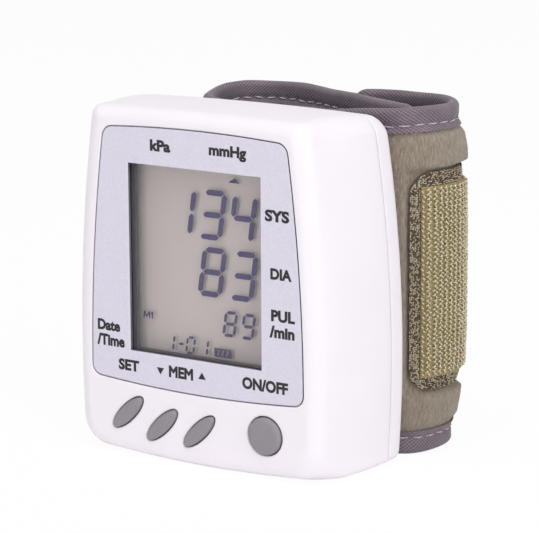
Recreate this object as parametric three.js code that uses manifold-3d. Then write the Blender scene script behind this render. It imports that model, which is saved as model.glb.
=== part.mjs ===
// Wrist blood pressure monitor: a moulded housing with a display and four buttons,
// pegged to a padded wrist cuff whose two flaps overlap behind it.
// Millimetres, +Z up, front facing -Y, standing on z = 0, x = 0 on the housing's middle plane.

import * as THREE from "three";
import { mergeVertices } from "three/addons/utils/BufferGeometryUtils.js";
import Module from "manifold-3d";

// Housing outside
const HOUSING_DEPTH = 27;
const FRONT_HALF_WIDTH = 29.1;
const BACK_HALF_WIDTH = 33.3;
const FLARE_DEPTH = 22; // the sides widen from the front to here
const WIDEST_Z = 21.9; // height at which the bowed sides are widest
const SIDE_RADIUS = 281;
const TOP_CROWN_Z = 73;
const TOP_CROWN_Y = 8;
const TOP_FALL = 1.75; // the top drops this far from its crown to the back
const TOP_RADIUS = 900;
const BOTTOM_RADIUS = 210;
const BOTTOM_LAND = 0.15; // depth of the flat land cut on the bowed underside
const TOP_CORNER = 5;
const BOTTOM_CORNER = 6.5;
const FRONT_EDGE_RADIUS = 2.5;
const BACK_EDGE_RADIUS = 2.5;
const PARTING_Y = 21;

// Housing walls and clearances
const WALL = 2;
const FRONT_WALL = 2.2;
const BACK_WALL = 2;
const GAP = 0.3; // between fixed pieces that touch on the real object
const ROOT = 0.5; // a rod is sunk this far into what it stands on
const HOLE_CLEARANCE = 0.25; // round a button in its hole

// Face panel and display
const DISPLAY_Z = 41.85;
const PANEL_THICKNESS = 0.8;
const PANEL_HALF_WIDTH = 26.2;
const PANEL_WIDEST_Z = 16.85;
const PANEL_SIDE_RADIUS = 357;
const PANEL_TOP_Z = 69.35;
const PANEL_TOP_RADIUS = 294;
const PANEL_BOTTOM_Z = 15.2;
const PANEL_BOTTOM_RADIUS = 278;
const PANEL_CORNER = 3.6;
const WINDOW_WIDTH = 32.1;
const WINDOW_HEIGHT = 39;
const LENS_MARGIN = 1; // the lens reaches this far past the window, all round
const LENS_THICKNESS = 1;
const BEZEL_WALL = 0.9;
const CELL_MARGIN = 2; // the display cell reaches this far past the window
const CELL_THICKNESS = 2.2;
const ELASTOMER_HEIGHT = 2;

// Circuit board
const BOARD_FRONT_Y = 7.6;
const BOARD_THICKNESS = 1.2;
const BOARD_CLEARANCE = 0.7;
const SWITCH_SIZE = 4.6;
const SWITCH_HEIGHT = 1.2;
const SWITCH_TIP = 0.4;
const SWITCH_TIP_RADIUS = 1.2;
const CHIP_SIZE = 7;
const CHIP_HEIGHT = 1;
const BUZZER_RADIUS = 5;
const BUZZER_HEIGHT = 2.1;
const BUZZER_X = 6;
const BUZZER_Z = 57;

// Buttons
const BUTTON_PROUD = 0.7;
const BUTTON_TRAVEL = 0.8;
const BUTTON_FLANGE = 0.8;
const BUTTON_FLANGE_DEPTH = 1;
const BUTTON_STEM_RADIUS = 1.4;
const BUTTON_EDGE = 1.1; // the cap's rounded edge is this wide
const POWER_RADIUS = 3.85;
const OVAL_HALF_LENGTH = 4.9;
const OVAL_HALF_WIDTH = 1.55;
const BUTTON_ROUND = [
  [1, 1],
  [0.8, 0.45],
  [0.45, 0.11],
]; // shares of the cap's height and of its edge, from the top down
const OVAL_TILT = THREE.MathUtils.degToRad(43.5);
const OVAL_BUTTONS = [
  { name: "set", x: -17, z: 9.05 },
  { name: "memory_down", x: -8.4, z: 7.55 },
  { name: "memory_up", x: 0.8, z: 7.55 },
];
const POWER_BUTTON = { name: "power", x: 16.8, z: 9 };

// Case screws
const UPPER_SCREW_X = 23.4;
const UPPER_SCREW_Z = 66.4;
const LOWER_SCREW_X = 26.2;
const LOWER_SCREW_Z = 8;
const SCREW_RADIUS = 1;
const SCREW_LENGTH = 12;
const SCREW_HEAD_RADIUS = 2.1;
const SCREW_HEAD_HEIGHT = 1.6;
const SCREW_CROSS_HALF_LENGTH = 1.3;
const SCREW_CROSS_HALF_WIDTH = 0.3;
const SCREW_CROSS_FLOOR = 0.8; // the cross is cut down to here above the head's foot
const BOSS_RADIUS = 2.8;
const COUNTERBORE_DEPTH = 2.4;

// Battery bay on the left
const BATTERY_RADIUS = 5.25;
const BATTERY_LENGTH = 44.5;
const BATTERY_NUB_RADIUS = 1.9;
const BATTERY_NUB_HEIGHT = 1;
const BATTERY_CHAMFER = 0.4;
const BATTERY_PITCH = 10.8;
const BAY_INNER_X = -6.3; // bay side of the tray's inner wall
const BAY_FLOOR_Z = 12.6;
const TRAY_WALL = 0.9;
const TRAY_MOUTH_X = -25.2;
const CONTACT_THICKNESS = 0.4;
const CONTACT_WIDTH = 7;
const SPRING_HEIGHT = 2.6;
const SPRING_WIRE = 0.5;
const SPRING_TURNS = 3;
const SPRING_WIDE_RADIUS = 3.6;
const SPRING_NARROW_RADIUS = 1.6;
const DOOR_MARGIN = 0.6; // the door opening reaches past the bay, all round
const DOOR_GROOVES = 5;
const DOOR_GROOVE_PITCH = 2;
const DOOR_GROOVE_WIDTH = 0.9;
const DOOR_GROOVE_DEPTH = 0.5;
const DOOR_GROOVE_LENGTH = 8;

// Pump, valve and air path
const PUMP_X = 19.8;
const MOTOR_RADIUS = 6;
const MOTOR_LENGTH = 20;
const MOTOR_FLOOR_Z = 13;
const MOTOR_BOSS_RADIUS = 2;
const MOTOR_BOSS_HEIGHT = 1;
const MOTOR_CHAMFER = 0.6;
const CRADLE_RIB = 2;
const SHAFT_RADIUS = 1;
const SHAFT_LENGTH = 5.5;
const ECCENTRIC_RADIUS = 2.6;
const ECCENTRIC_OFFSET = 1.2;
const ECCENTRIC_HEIGHT = 2.6;
const PUMP_WIDTH = 12.6;
const PUMP_HEIGHT = 22;
const PUMP_BORE_RADIUS = 5;
const PUMP_BORE_DEPTH = 12;
const DIAPHRAGM_HEIGHT = 3;
const DIAPHRAGM_TIP_RADIUS = 1.6;
const DIAPHRAGM_NECK_RADIUS = 2;
const DIAPHRAGM_NECK_HEIGHT = 1.2;
const DIAPHRAGM_RIM_HEIGHT = 1.8; // underside of the rim
const NOZZLE_RADIUS = 1.4;
const NOZZLE_LENGTH = 4;
const TUBE_RADIUS = 1.6;
const TUBE_RISE = 7; // the tube's arch stands this far above the pump's nozzle
const TUBE_LEAD = 2; // it leaves the nozzle straight for this length
const TUBE_ARCH = [
  [0.16, 1.6],
  [0.5, 0],
  [0.84, 2.4],
  [1, 7],
]; // share of the way to the manifold, drop below the arch's top
const MANIFOLD_X = 3;
const MANIFOLD_WIDTH = 7;
const MANIFOLD_FLOOR_Z = 31;
const MANIFOLD_HEIGHT = 15;
const VALVE_WIDTH = 9;
const VALVE_HEIGHT = 13;
const PLUNGER_RADIUS = 1.5;
const PLUNGER_LENGTH = 3;
const PLUNGER_PROUD = 1.5; // the plunger hangs this far out of the valve
const PLUNGER_TRAVEL = 0.6;
const SENSOR_SIZE = 8;
const NIPPLE_RADIUS = 1.8;
const NIPPLE_FLANGE_RADIUS = 3.2;

// Wrist cuff
const CUFF_BOTTOM_Z = 0.55;
const CUFF_TOP_Z = 72.45;
const BINDING_HEIGHT = 5;
const BINDING_THICKNESS = 3.4;
const CLOTH_THICKNESS = 0.9;
const CUFF_STANDOFF = 0.4; // behind the housing
const OUTER_CROWN = 1.9; // the outer flap's plush swells this far past its bindings
const INNER_CROWN = 0.8; // the same on the inner flap
const LINING_CROWN = 0.4;
const FLAP_RAMP = 7; // length over which a flap comes up to its full crown
const FOLD_GAP = 0.5; // at the soft folds where the flaps swing
const BASE_LEFT_X = -10.6;
const BLADDER_LEFT_X = -9.6;
const BLADDER_RIGHT_X = 17;
const BLADDER_MARGIN = 1.5;
const BLADDER_EDGE = 0.8;
const BLADDER_SWELL = 1.1;
const PLATE_THICKNESS = 0.9;
const PEG_RADIUS = 1.4;
const PEG_INSET_X = 4; // pegs lie this far inside the bladder's sides
const PEG_INSET_Z = 9; // and this far inside the cloth's edges
const PLATE_MARGIN = 2;
const PATCH_START = 0.8; // along the outer flap from its fold
const PATCH_LENGTH = 27;
const PATCH_BOTTOM_Z = 13.6;
const PATCH_TOP_Z = 59.2;
const PATCH_THICKNESS = 0.7;
const HOOK_MARGIN = 2.9; // the hook tape lies this far inside its patch
const HOOK_FOLD_MARGIN = 0.9; // the same at the fold
const HOOK_THICKNESS = 1.2;

// Plan of the cuff's middle line, as [x, distance behind the base] points
const BASE_FLAT = [
  [8, 0],
  [24, 0],
];
const BASE_BEND = [
  [26.8, 0.05],
  [29.6, 0.6],
  [31.7, 2],
];
const OUTER_LOOP = [
  [32.4, 2.8],
  [34, 5.5],
  [35.2, 11.6],
  [33.6, 16.1],
  [28, 19.9],
  [19.6, 21],
  [14.6, 19.5],
  [13.5, 15.1],
];
const INNER_LOOP = [
  [-13.2, -0.3],
  [-18.5, 5.2],
  [-19.2, 10.4],
  [-15.8, 16.4],
  [-9.8, 19.1],
  [0, 17.1],
  [12.7, 11.8],
  [27.2, 5.9],
];

// Facets
const ROUND = 24;
const SMALL_ROUND = 12;
const CUFF_STEP = 3;
const TIGHT_CUFF_STEP = 2.2;
const CLOTH_ROWS = 8;
const BLADDER_ROWS = 6;
const PATCH_ROWS = 4;
const EDGE_STEPS = 3;
const WALL_STEPS = 6;
const CAVITY_STEPS = 5;
const TUBE_STEPS = 24;
const TUBE_SIDES = 8;
const MERGE_TOLERANCE = 1e-4;
const FAR = 200; // past everything, for cutting tools

const BASE_Y = HOUSING_DEPTH + CUFF_STANDOFF + BINDING_THICKNESS / 2;
const BOARD_BACK_Y = BOARD_FRONT_Y + BOARD_THICKNESS;
const CAVITY_BACK_Y = HOUSING_DEPTH - BACK_WALL;
const AIR_Y = (BOARD_BACK_Y + CAVITY_BACK_Y) / 2; // middle plane of the pump, valve and manifold

const BASE_PATH = curve([[BASE_LEFT_X, 0], ...BASE_FLAT, ...BASE_BEND]);
const OUTER_PATH = curve(OUTER_LOOP);
const INNER_PATH = curve(INNER_LOOP);

const wasm = await Module();
wasm.setup();

// A smooth curve in plan through a few points, measured from the cuff's base.
function curve(points) {
  return new THREE.CatmullRomCurve3(
    points.map(([x, behind]) => new THREE.Vector3(x, BASE_Y + behind, 0)),
    false,
    "centripetal",
  );
}

// A closed geometry as a solid that can be joined and cut.
function solidOf(geometry) {
  const bare = geometry.index ? geometry.toNonIndexed() : geometry.clone();
  bare.deleteAttribute("normal");
  bare.deleteAttribute("uv");
  const merged = mergeVertices(bare, MERGE_TOLERANCE);
  const corners = merged.index.array;
  const kept = [];
  for (let i = 0; i < corners.length; i += 3) {
    const [a, b, c] = [corners[i], corners[i + 1], corners[i + 2]];
    if (a !== b && b !== c && c !== a) kept.push(a, b, c);
  }
  const triVerts = Uint32Array.from(kept);
  const vertProperties = Float32Array.from(merged.getAttribute("position").array);
  return new wasm.Manifold(new wasm.Mesh({ numProp: 3, vertProperties, triVerts }));
}

// A solid as a flat-shaded geometry.
function geometryOf(solid) {
  const mesh = solid.getMesh();
  const positions = [];
  for (const corner of mesh.triVerts) {
    const start = corner * mesh.numProp;
    positions.push(...mesh.vertProperties.subarray(start, start + 3));
  }
  const geometry = new THREE.BufferGeometry();
  geometry.setAttribute("position", new THREE.Float32BufferAttribute(positions, 3));
  geometry.computeVertexNormals();
  return geometry;
}

function join(first, ...others) {
  return others.reduce((whole, other) => whole.add(other), first);
}

function cut(first, ...tools) {
  return tools.reduce((rest, tool) => rest.subtract(tool), first);
}

// A box between two corners.
function box([x0, y0, z0], [x1, y1, z1]) {
  const geometry = new THREE.BoxGeometry(x1 - x0, y1 - y0, z1 - z0);
  geometry.translate((x0 + x1) / 2, (y0 + y1) / 2, (z0 + z1) / 2);
  return solidOf(geometry);
}

// A round rod along Y.
function rodY(x, z, radius, y0, y1, sides = SMALL_ROUND) {
  const geometry = new THREE.CylinderGeometry(radius, radius, y1 - y0, sides);
  geometry.translate(x, (y0 + y1) / 2, z);
  return solidOf(geometry);
}

// A round rod along Z.
function rodZ(x, y, radius, z0, z1, sides = SMALL_ROUND) {
  const geometry = new THREE.CylinderGeometry(radius, radius, z1 - z0, sides);
  geometry.rotateX(Math.PI / 2);
  geometry.translate(x, y, (z0 + z1) / 2);
  return solidOf(geometry);
}

// A turned piece on a vertical axis, from a profile of [radius, height] points.
function turned(profile, x, y, z, sides = ROUND) {
  const points = profile.map(([radius, height]) => new THREE.Vector2(radius, height));
  const geometry = new THREE.LatheGeometry(points, sides);
  geometry.rotateX(Math.PI / 2);
  geometry.translate(x, y, z);
  return solidOf(geometry);
}

// A front-view outline of [x, z] points, run from y0 to y1.
function slab(points, y0, y1) {
  const shape = new THREE.Shape(points.map(([x, z]) => new THREE.Vector2(x, z)));
  const geometry = new THREE.ExtrudeGeometry(shape, { depth: y1 - y0, bevelEnabled: false });
  geometry.rotateX(Math.PI / 2);
  geometry.translate(0, y1, 0);
  return solidOf(geometry);
}

// A rectangle centred on the display, grown by a margin on all sides, run from y0 to y1.
function displayBlock(margin, y0, y1) {
  const halfWidth = WINDOW_WIDTH / 2 + margin;
  const halfHeight = WINDOW_HEIGHT / 2 + margin;
  return box([-halfWidth, y0, DISPLAY_Z - halfHeight], [halfWidth, y1, DISPLAY_Z + halfHeight]);
}

// A closed skin over rings of equal point counts, capped at both ends.
function loft(rings) {
  const count = rings[0].length;
  const vertices = rings.flat().flatMap((p) => [p.x, p.y, p.z]);
  const faces = [];
  for (let i = 0; i + 1 < rings.length; i++) {
    for (let j = 0; j < count; j++) {
      const a = i * count + j;
      const b = i * count + ((j + 1) % count);
      faces.push(a, a + count, b, b, a + count, b + count);
    }
  }
  const last = (rings.length - 1) * count;
  for (const [a, b, c] of capOf(rings[0])) faces.push(a, b, c);
  for (const [a, b, c] of capOf(rings.at(-1))) faces.push(last + a, last + c, last + b);
  const geometry = new THREE.BufferGeometry();
  geometry.setAttribute("position", new THREE.Float32BufferAttribute(vertices, 3));
  geometry.setIndex(faces);
  return solidOf(geometry);
}

// Triangles that fill a flat ring, turned the way the ring turns.
function capOf(ring) {
  const normal = new THREE.Vector3();
  ring.forEach((p, i) => {
    const next = ring[(i + 1) % ring.length];
    normal.add(p.clone().sub(ring[0]).cross(next.clone().sub(ring[0])));
  });
  normal.normalize();
  const across = ring[1].clone().sub(ring[0]).normalize();
  const up = normal.clone().cross(across);
  const flat = ring.map((p) => new THREE.Vector2(p.dot(across), p.dot(up)));
  return THREE.ShapeUtils.triangulateShape(flat, []);
}

// Points along a circular arc in the front view.
function arc(centre, radius, from, to, steps) {
  return Array.from({ length: steps }, (_, i) => {
    const angle = from + ((to - from) * i) / steps;
    return [centre.x + radius * Math.cos(angle), centre.z + radius * Math.sin(angle)];
  });
}

// The right-hand point where two circles cross, above or below their centres' line.
function crossing(a, ra, b, rb, side) {
  const dx = b.x - a.x;
  const dz = b.z - a.z;
  const distance = Math.hypot(dx, dz);
  const along = (ra * ra - rb * rb + distance * distance) / (2 * distance);
  const off = Math.sqrt(ra * ra - along * along) * side;
  return {
    x: a.x + (along * dx - off * dz) / distance,
    z: a.z + (along * dz + off * dx) / distance,
  };
}

// A bowed rectangle in the front view: four gentle arcs joined by round corners.
function bowedOutline(frame, inset = 0) {
  const least = 0.8;
  const topCorner = Math.max(frame.topCorner - inset, least);
  const bottomCorner = Math.max(frame.bottomCorner - inset, least);
  const side = { x: frame.halfWidth - frame.sideRadius, z: frame.widestZ };
  const roof = { x: 0, z: frame.top - frame.topRadius };
  const base = { x: 0, z: frame.bottom + frame.bottomRadius };
  const sideRadius = frame.sideRadius - inset;
  const roofRadius = frame.topRadius - inset;
  const baseRadius = frame.bottomRadius - inset;
  const high = crossing(side, sideRadius - topCorner, roof, roofRadius - topCorner, 1);
  const low = crossing(side, sideRadius - bottomCorner, base, baseRadius - bottomCorner, -1);
  const angle = (from, to) => Math.atan2(to.z - from.z, to.x - from.x);
  const right = [
    ...arc(base, baseRadius, -Math.PI / 2, angle(base, low), 4),
    ...arc(low, bottomCorner, angle(base, low), angle(side, low), 5),
    ...arc(side, sideRadius, angle(side, low), angle(side, high), 7),
    ...arc(high, topCorner, angle(side, high), angle(roof, high), 5),
    ...arc(roof, roofRadius, angle(roof, high), Math.PI / 2, 4),
    [0, roof.z + roofRadius],
  ];
  const left = right.slice(1, -1).reverse().map(([x, z]) => [-x, z]);
  return [...right, ...left];
}

// The housing's frame at a depth: sides that flare, a top that crowns.
function housingFrame(y) {
  const flare = 1 - Math.min(y / FLARE_DEPTH, 1);
  const fall = (y - TOP_CROWN_Y) / (HOUSING_DEPTH - TOP_CROWN_Y);
  return {
    halfWidth: BACK_HALF_WIDTH - (BACK_HALF_WIDTH - FRONT_HALF_WIDTH) * flare * flare,
    widestZ: WIDEST_Z,
    sideRadius: SIDE_RADIUS,
    top: TOP_CROWN_Z - TOP_FALL * fall * fall,
    topRadius: TOP_RADIUS,
    bottom: -BOTTOM_LAND,
    bottomRadius: BOTTOM_RADIUS,
    topCorner: TOP_CORNER,
    bottomCorner: BOTTOM_CORNER,
  };
}

function housingRing(y, inset) {
  return bowedOutline(housingFrame(y), inset).map(([x, z]) => new THREE.Vector3(x, y, z));
}

// The housing's outer form, with round front and back edges.
function housingForm() {
  const rings = [];
  const wallStart = FRONT_EDGE_RADIUS;
  const wallEnd = HOUSING_DEPTH - BACK_EDGE_RADIUS;
  for (let i = 0; i < EDGE_STEPS; i++) {
    const turn = ((i / EDGE_STEPS) * Math.PI) / 2;
    const depth = FRONT_EDGE_RADIUS * (1 - Math.cos(turn));
    rings.push(housingRing(depth, FRONT_EDGE_RADIUS * (1 - Math.sin(turn))));
  }
  for (let i = 0; i < WALL_STEPS; i++) {
    rings.push(housingRing(wallStart + ((wallEnd - wallStart) * i) / WALL_STEPS, 0));
  }
  for (let i = 0; i <= EDGE_STEPS; i++) {
    const turn = ((i / EDGE_STEPS) * Math.PI) / 2;
    const depth = wallEnd + BACK_EDGE_RADIUS * Math.sin(turn);
    rings.push(housingRing(depth, BACK_EDGE_RADIUS * (1 - Math.cos(turn))));
  }
  return cut(loft(rings), box([-FAR, -FAR, -FAR], [FAR, FAR, 0]));
}

// The space inside the housing.
function housingCavity() {
  const rings = [];
  for (let i = 0; i <= CAVITY_STEPS; i++) {
    const share = i / CAVITY_STEPS;
    rings.push(housingRing(FRONT_WALL + (CAVITY_BACK_Y - FRONT_WALL) * share, WALL));
  }
  return loft(rings);
}

// An oval in the front view at a depth; equal half sizes make it round.
function ovalRing(button, halfLength, halfWidth, y) {
  return Array.from({ length: ROUND }, (_, i) => {
    const turn = (i / ROUND) * Math.PI * 2;
    const along = halfLength * Math.cos(turn);
    const across = halfWidth * Math.sin(turn);
    return new THREE.Vector3(
      button.x + along * Math.cos(OVAL_TILT) - across * Math.sin(OVAL_TILT),
      y,
      button.z + along * Math.sin(OVAL_TILT) + across * Math.cos(OVAL_TILT),
    );
  });
}

// A solid swept along a plan curve. The section gives [offset, z] points at each length along
// the curve, where a positive offset points to the outside of the cuff.
function ribbon(path, outside, from, to, step, section) {
  const total = path.getLength();
  const count = Math.max(2, Math.round((to - from) / step));
  const rings = [];
  for (let i = 0; i <= count; i++) {
    const length = from + ((to - from) * i) / count;
    const middle = path.getPointAt(length / total);
    const along = path.getTangentAt(length / total);
    const out = new THREE.Vector3(along.y, -along.x, 0).multiplyScalar(outside);
    const ring = section(length).map(
      ([offset, z]) => new THREE.Vector3(middle.x, middle.y, z).addScaledVector(out, offset),
    );
    rings.push(outside > 0 ? ring : ring.reverse());
  }
  return loft(rings);
}

// How full a padded face is at a height: 0 at the bindings, 1 over the middle.
function fullness(z) {
  const middle = (CUFF_BOTTOM_Z + CUFF_TOP_Z) / 2;
  const half = (CUFF_TOP_Z - CUFF_BOTTOM_Z) / 2 - BINDING_HEIGHT;
  return 1 - Math.min(1, Math.abs((z - middle) / half)) ** 4;
}

// A soft start and end along a flap.
function swellAlong(length, total) {
  const ease = (distance) => Math.sin((Math.PI / 2) * Math.min(1, Math.max(0, distance / FLAP_RAMP)));
  return ease(length) * ease(total - length + FLAP_RAMP / 4);
}

// Heights across a padded face, closer together near its edges.
function heights(bottom, top, steps) {
  return Array.from({ length: steps + 1 }, (_, i) => {
    const share = (1 - Math.cos((Math.PI * i) / steps)) / 2;
    return bottom + (top - bottom) * share;
  });
}

// A layer between two faces, given as offsets at each height.
function layer(zs, innerFace, outerFace) {
  const outer = zs.map((z) => [outerFace(z), z]);
  const inner = zs.map((z) => [innerFace(z), z]).reverse();
  return [...outer, ...inner];
}

const CLOTH_BOTTOM = CUFF_BOTTOM_Z + BINDING_HEIGHT + GAP;
const CLOTH_TOP = CUFF_TOP_Z - BINDING_HEIGHT - GAP;
const CLOTH_HEIGHTS = heights(CLOTH_BOTTOM, CLOTH_TOP, CLOTH_ROWS);
const HALF_BINDING = BINDING_THICKNESS / 2;

// A binding tape folded over an edge of the cuff; the fold is at the far side of height.
function binding(foot, fold) {
  const up = fold > foot ? 1 : -1;
  const bend = HALF_BINDING;
  const section = [
    [-HALF_BINDING, foot],
    [HALF_BINDING, foot],
    [HALF_BINDING, fold - bend * up],
    [HALF_BINDING * 0.7, fold - bend * 0.3 * up],
    [0, fold],
    [-HALF_BINDING * 0.7, fold - bend * 0.3 * up],
    [-HALF_BINDING, fold - bend * up],
  ];
  return up > 0 ? section : section.reverse();
}

const finish = (color, roughness, metalness = 0) =>
  new THREE.MeshStandardMaterial({ color, roughness, metalness });

const WHITE_PLASTIC = finish(0xf3edf4, 0.4);
const SILVER_PANEL = finish(0xdcdcea, 0.35, 0.2);
const CLEAR_LENS = new THREE.MeshStandardMaterial({
  color: 0xf2f5f6,
  roughness: 0.05,
  transparent: true,
  opacity: 0.25,
});
const DARK_PLASTIC = finish(0x4a4750, 0.5);
const DISPLAY_GLASS = finish(0xb8b2af, 0.25);
const GREY_RUBBER = finish(0x96929a, 0.55);
const BLACK_RUBBER = finish(0x242428, 0.7);
const BOARD_GREEN = finish(0x2e6b45, 0.5);
const BLACK_MOULDING = finish(0x202024, 0.45);
const STEEL = finish(0xb9bcc0, 0.3, 1);
const PALE_PLASTIC = finish(0xd9d6cf, 0.5);
const CLEAR_TUBE = finish(0xdfe0dd, 0.35);
const BATTERY_SLEEVE = finish(0x3c5a78, 0.35, 0.3);
const PLUSH = finish(0x8c8473, 0.95);
const NYLON = finish(0x5f5a66, 0.8);
const TWILL_BINDING = finish(0x78707a, 0.85);
const BLADDER_FILM = finish(0x9a9aa0, 0.5);
const PATCH_CLOTH = finish(0x6b6456, 0.9);
const HOOK_TAPE = finish(0xa59b69, 0.8);

// The pieces are drawn from the housing's front face, then moved so that the origin is on the
// land below the housing's middle.
const monitor = new THREE.Group();
const pieces = new THREE.Group();
pieces.position.y = -HOUSING_DEPTH / 2;
monitor.add(pieces);

function place(name, solid, material) {
  const mesh = new THREE.Mesh(geometryOf(solid), material.clone());
  mesh.name = name;
  pieces.add(mesh);
}

// Sizes that several pieces share
const screwSpots = [-1, 1].flatMap((side) => [
  { x: side * UPPER_SCREW_X, z: UPPER_SCREW_Z },
  { x: side * LOWER_SCREW_X, z: LOWER_SCREW_Z },
]);
const bayFrontY = BOARD_BACK_Y + GAP + TRAY_WALL;
const batteryY = bayFrontY + GAP + BATTERY_RADIUS;
const bayBackY = batteryY + BATTERY_RADIUS + GAP;
const doorFrontY = bayFrontY - DOOR_MARGIN;
const doorBackY = bayBackY + DOOR_MARGIN;
const doorBottomZ = BAY_FLOOR_Z - DOOR_MARGIN;
const bayTopZ =
  BAY_FLOOR_Z + BATTERY_LENGTH + SPRING_HEIGHT + 2 * CONTACT_THICKNESS + 5 * GAP;
const doorTopZ = bayTopZ + DOOR_MARGIN;
const recessFloorY = PANEL_THICKNESS + GAP;
const lensBackY = recessFloorY + LENS_THICKNESS;
const bezelFrontY = Math.max(FRONT_WALL, lensBackY) + GAP;
const cellFrontY = bezelFrontY + BEZEL_WALL + GAP;
const cellBackY = cellFrontY + CELL_THICKNESS;
const flangeFrontY = FRONT_WALL + GAP;
const flangeBackY = flangeFrontY + BUTTON_FLANGE_DEPTH;
const switchBackY = BOARD_FRONT_Y - GAP;
const switchFrontY = switchBackY - SWITCH_HEIGHT;
const stemEndY = switchFrontY - SWITCH_TIP - GAP - BUTTON_TRAVEL;
const motorTopZ = MOTOR_FLOOR_Z + MOTOR_LENGTH;
const pumpFloorZ = motorTopZ + GAP;
const pumpTopZ = pumpFloorZ + PUMP_HEIGHT;
const manifoldTopZ = MANIFOLD_FLOOR_Z + MANIFOLD_HEIGHT;
const portZ = MANIFOLD_FLOOR_Z + MANIFOLD_HEIGHT / 2;
const valveTopZ = MANIFOLD_FLOOR_Z - GAP;
const plateFrontY = BASE_Y - HALF_BINDING + CLOTH_THICKNESS + GAP;
const plateBackY = plateFrontY + PLATE_THICKNESS;
const pegSpots = [BLADDER_LEFT_X + PEG_INSET_X, BLADDER_RIGHT_X - PEG_INSET_X].flatMap((x) =>
  [CLOTH_BOTTOM + PEG_INSET_Z, CLOTH_TOP - PEG_INSET_Z].map((z) => ({ x, z })),
);
const ovals = OVAL_BUTTONS.map((spot) => ({
  ...spot,
  halfLength: OVAL_HALF_LENGTH,
  halfWidth: OVAL_HALF_WIDTH,
}));
const buttons = [...ovals, { ...POWER_BUTTON, halfLength: POWER_RADIUS, halfWidth: POWER_RADIUS }];

const form = housingForm();
const cavity = housingCavity();
const doorOpening = box(
  [-FAR, doorFrontY, doorBottomZ],
  [BAY_INNER_X, doorBackY, doorTopZ],
);
const panelFrame = {
  halfWidth: PANEL_HALF_WIDTH,
  widestZ: PANEL_WIDEST_Z,
  sideRadius: PANEL_SIDE_RADIUS,
  top: PANEL_TOP_Z,
  topRadius: PANEL_TOP_RADIUS,
  bottom: PANEL_BOTTOM_Z,
  bottomRadius: PANEL_BOTTOM_RADIUS,
  topCorner: PANEL_CORNER,
  bottomCorner: PANEL_CORNER,
};

// Front shell: panel recess, display window, button holes, screw bosses
function frontShell() {
  const half = form.intersect(box([-FAR, -FAR, -FAR], [FAR, PARTING_Y - GAP / 2, FAR]));
  const recess = slab(bowedOutline(panelFrame, -HOLE_CLEARANCE), -FAR, recessFloorY);
  const window = displayBlock(LENS_MARGIN + GAP, -FAR, bezelFrontY);
  const holes = buttons.map((button) =>
    loft(
      [-BUTTON_PROUD, FRONT_WALL + GAP].map((y) =>
        ovalRing(
          button,
          button.halfLength + HOLE_CLEARANCE,
          button.halfWidth + HOLE_CLEARANCE,
          y,
        ),
      ),
    ),
  );
  const bossTop = PARTING_Y - GAP / 2;
  const bosses = screwSpots.map(({ x, z }) =>
    rodY(x, z, BOSS_RADIUS, FRONT_WALL - ROOT, bossTop),
  );
  const tip = HOUSING_DEPTH - COUNTERBORE_DEPTH - SCREW_LENGTH;
  const pilots = screwSpots.map(({ x, z }) => rodY(x, z, SCREW_RADIUS + GAP, tip - GAP, FAR));
  const shell = cut(half, cavity);
  return cut(join(shell, ...bosses), recess, window, doorOpening, ...holes, ...pilots);
}

// Rear shell: screw bosses, pump cradle, air port, peg holes
function rearShell() {
  const half = form.intersect(box([-FAR, PARTING_Y + GAP / 2, -FAR], [FAR, FAR, FAR]));
  const start = PARTING_Y + GAP / 2;
  const bosses = screwSpots.map(({ x, z }) =>
    rodY(x, z, BOSS_RADIUS, start, HOUSING_DEPTH - BACK_WALL / 2),
  );
  const holes = screwSpots.map(({ x, z }) => rodY(x, z, SCREW_RADIUS + GAP, -FAR, FAR));
  const sinks = screwSpots.map(({ x, z }) =>
    rodY(x, z, SCREW_HEAD_RADIUS + GAP, HOUSING_DEPTH - COUNTERBORE_DEPTH, FAR),
  );
  const ribs = [0.2, 0.8].map((share) => {
    const z = MOTOR_FLOOR_Z + MOTOR_LENGTH * share;
    const half = MOTOR_RADIUS + CRADLE_RIB / 2;
    return box(
      [PUMP_X - half, AIR_Y, z - CRADLE_RIB / 2],
      [PUMP_X + half, CAVITY_BACK_Y + BACK_WALL / 2, z + CRADLE_RIB / 2],
    );
  });
  const motorSpace = rodZ(PUMP_X, AIR_Y, MOTOR_RADIUS + GAP, 0, FAR, ROUND);
  const valveRib = box(
    [MANIFOLD_X - VALVE_WIDTH / 2, AIR_Y + VALVE_WIDTH / 2 + GAP, valveTopZ - VALVE_HEIGHT / 2],
    [
      MANIFOLD_X + VALVE_WIDTH / 2,
      CAVITY_BACK_Y + BACK_WALL / 2,
      valveTopZ - VALVE_HEIGHT / 2 + CRADLE_RIB,
    ],
  );
  const trayRibs = [0.25, 0.75].map((share) => {
    const z = THREE.MathUtils.lerp(BAY_FLOOR_Z, bayTopZ, share);
    return box(
      [BAY_INNER_X - 2 * BATTERY_RADIUS, bayBackY + TRAY_WALL + GAP, z - CRADLE_RIB / 2],
      [BAY_INNER_X, CAVITY_BACK_Y + BACK_WALL / 2, z + CRADLE_RIB / 2],
    );
  });
  const port = rodY(MANIFOLD_X, portZ, NIPPLE_RADIUS + GAP, PARTING_Y, FAR);
  const pegHoles = pegSpots.map(({ x, z }) => rodY(x, z, PEG_RADIUS + GAP, PARTING_Y, FAR));
  const cradle = cut(join(...ribs), motorSpace);
  const shell = join(cut(half, cavity), ...bosses, ...trayRibs, valveRib, cradle);
  return cut(shell, doorOpening, port, ...holes, ...sinks, ...pegHoles);
}

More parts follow.
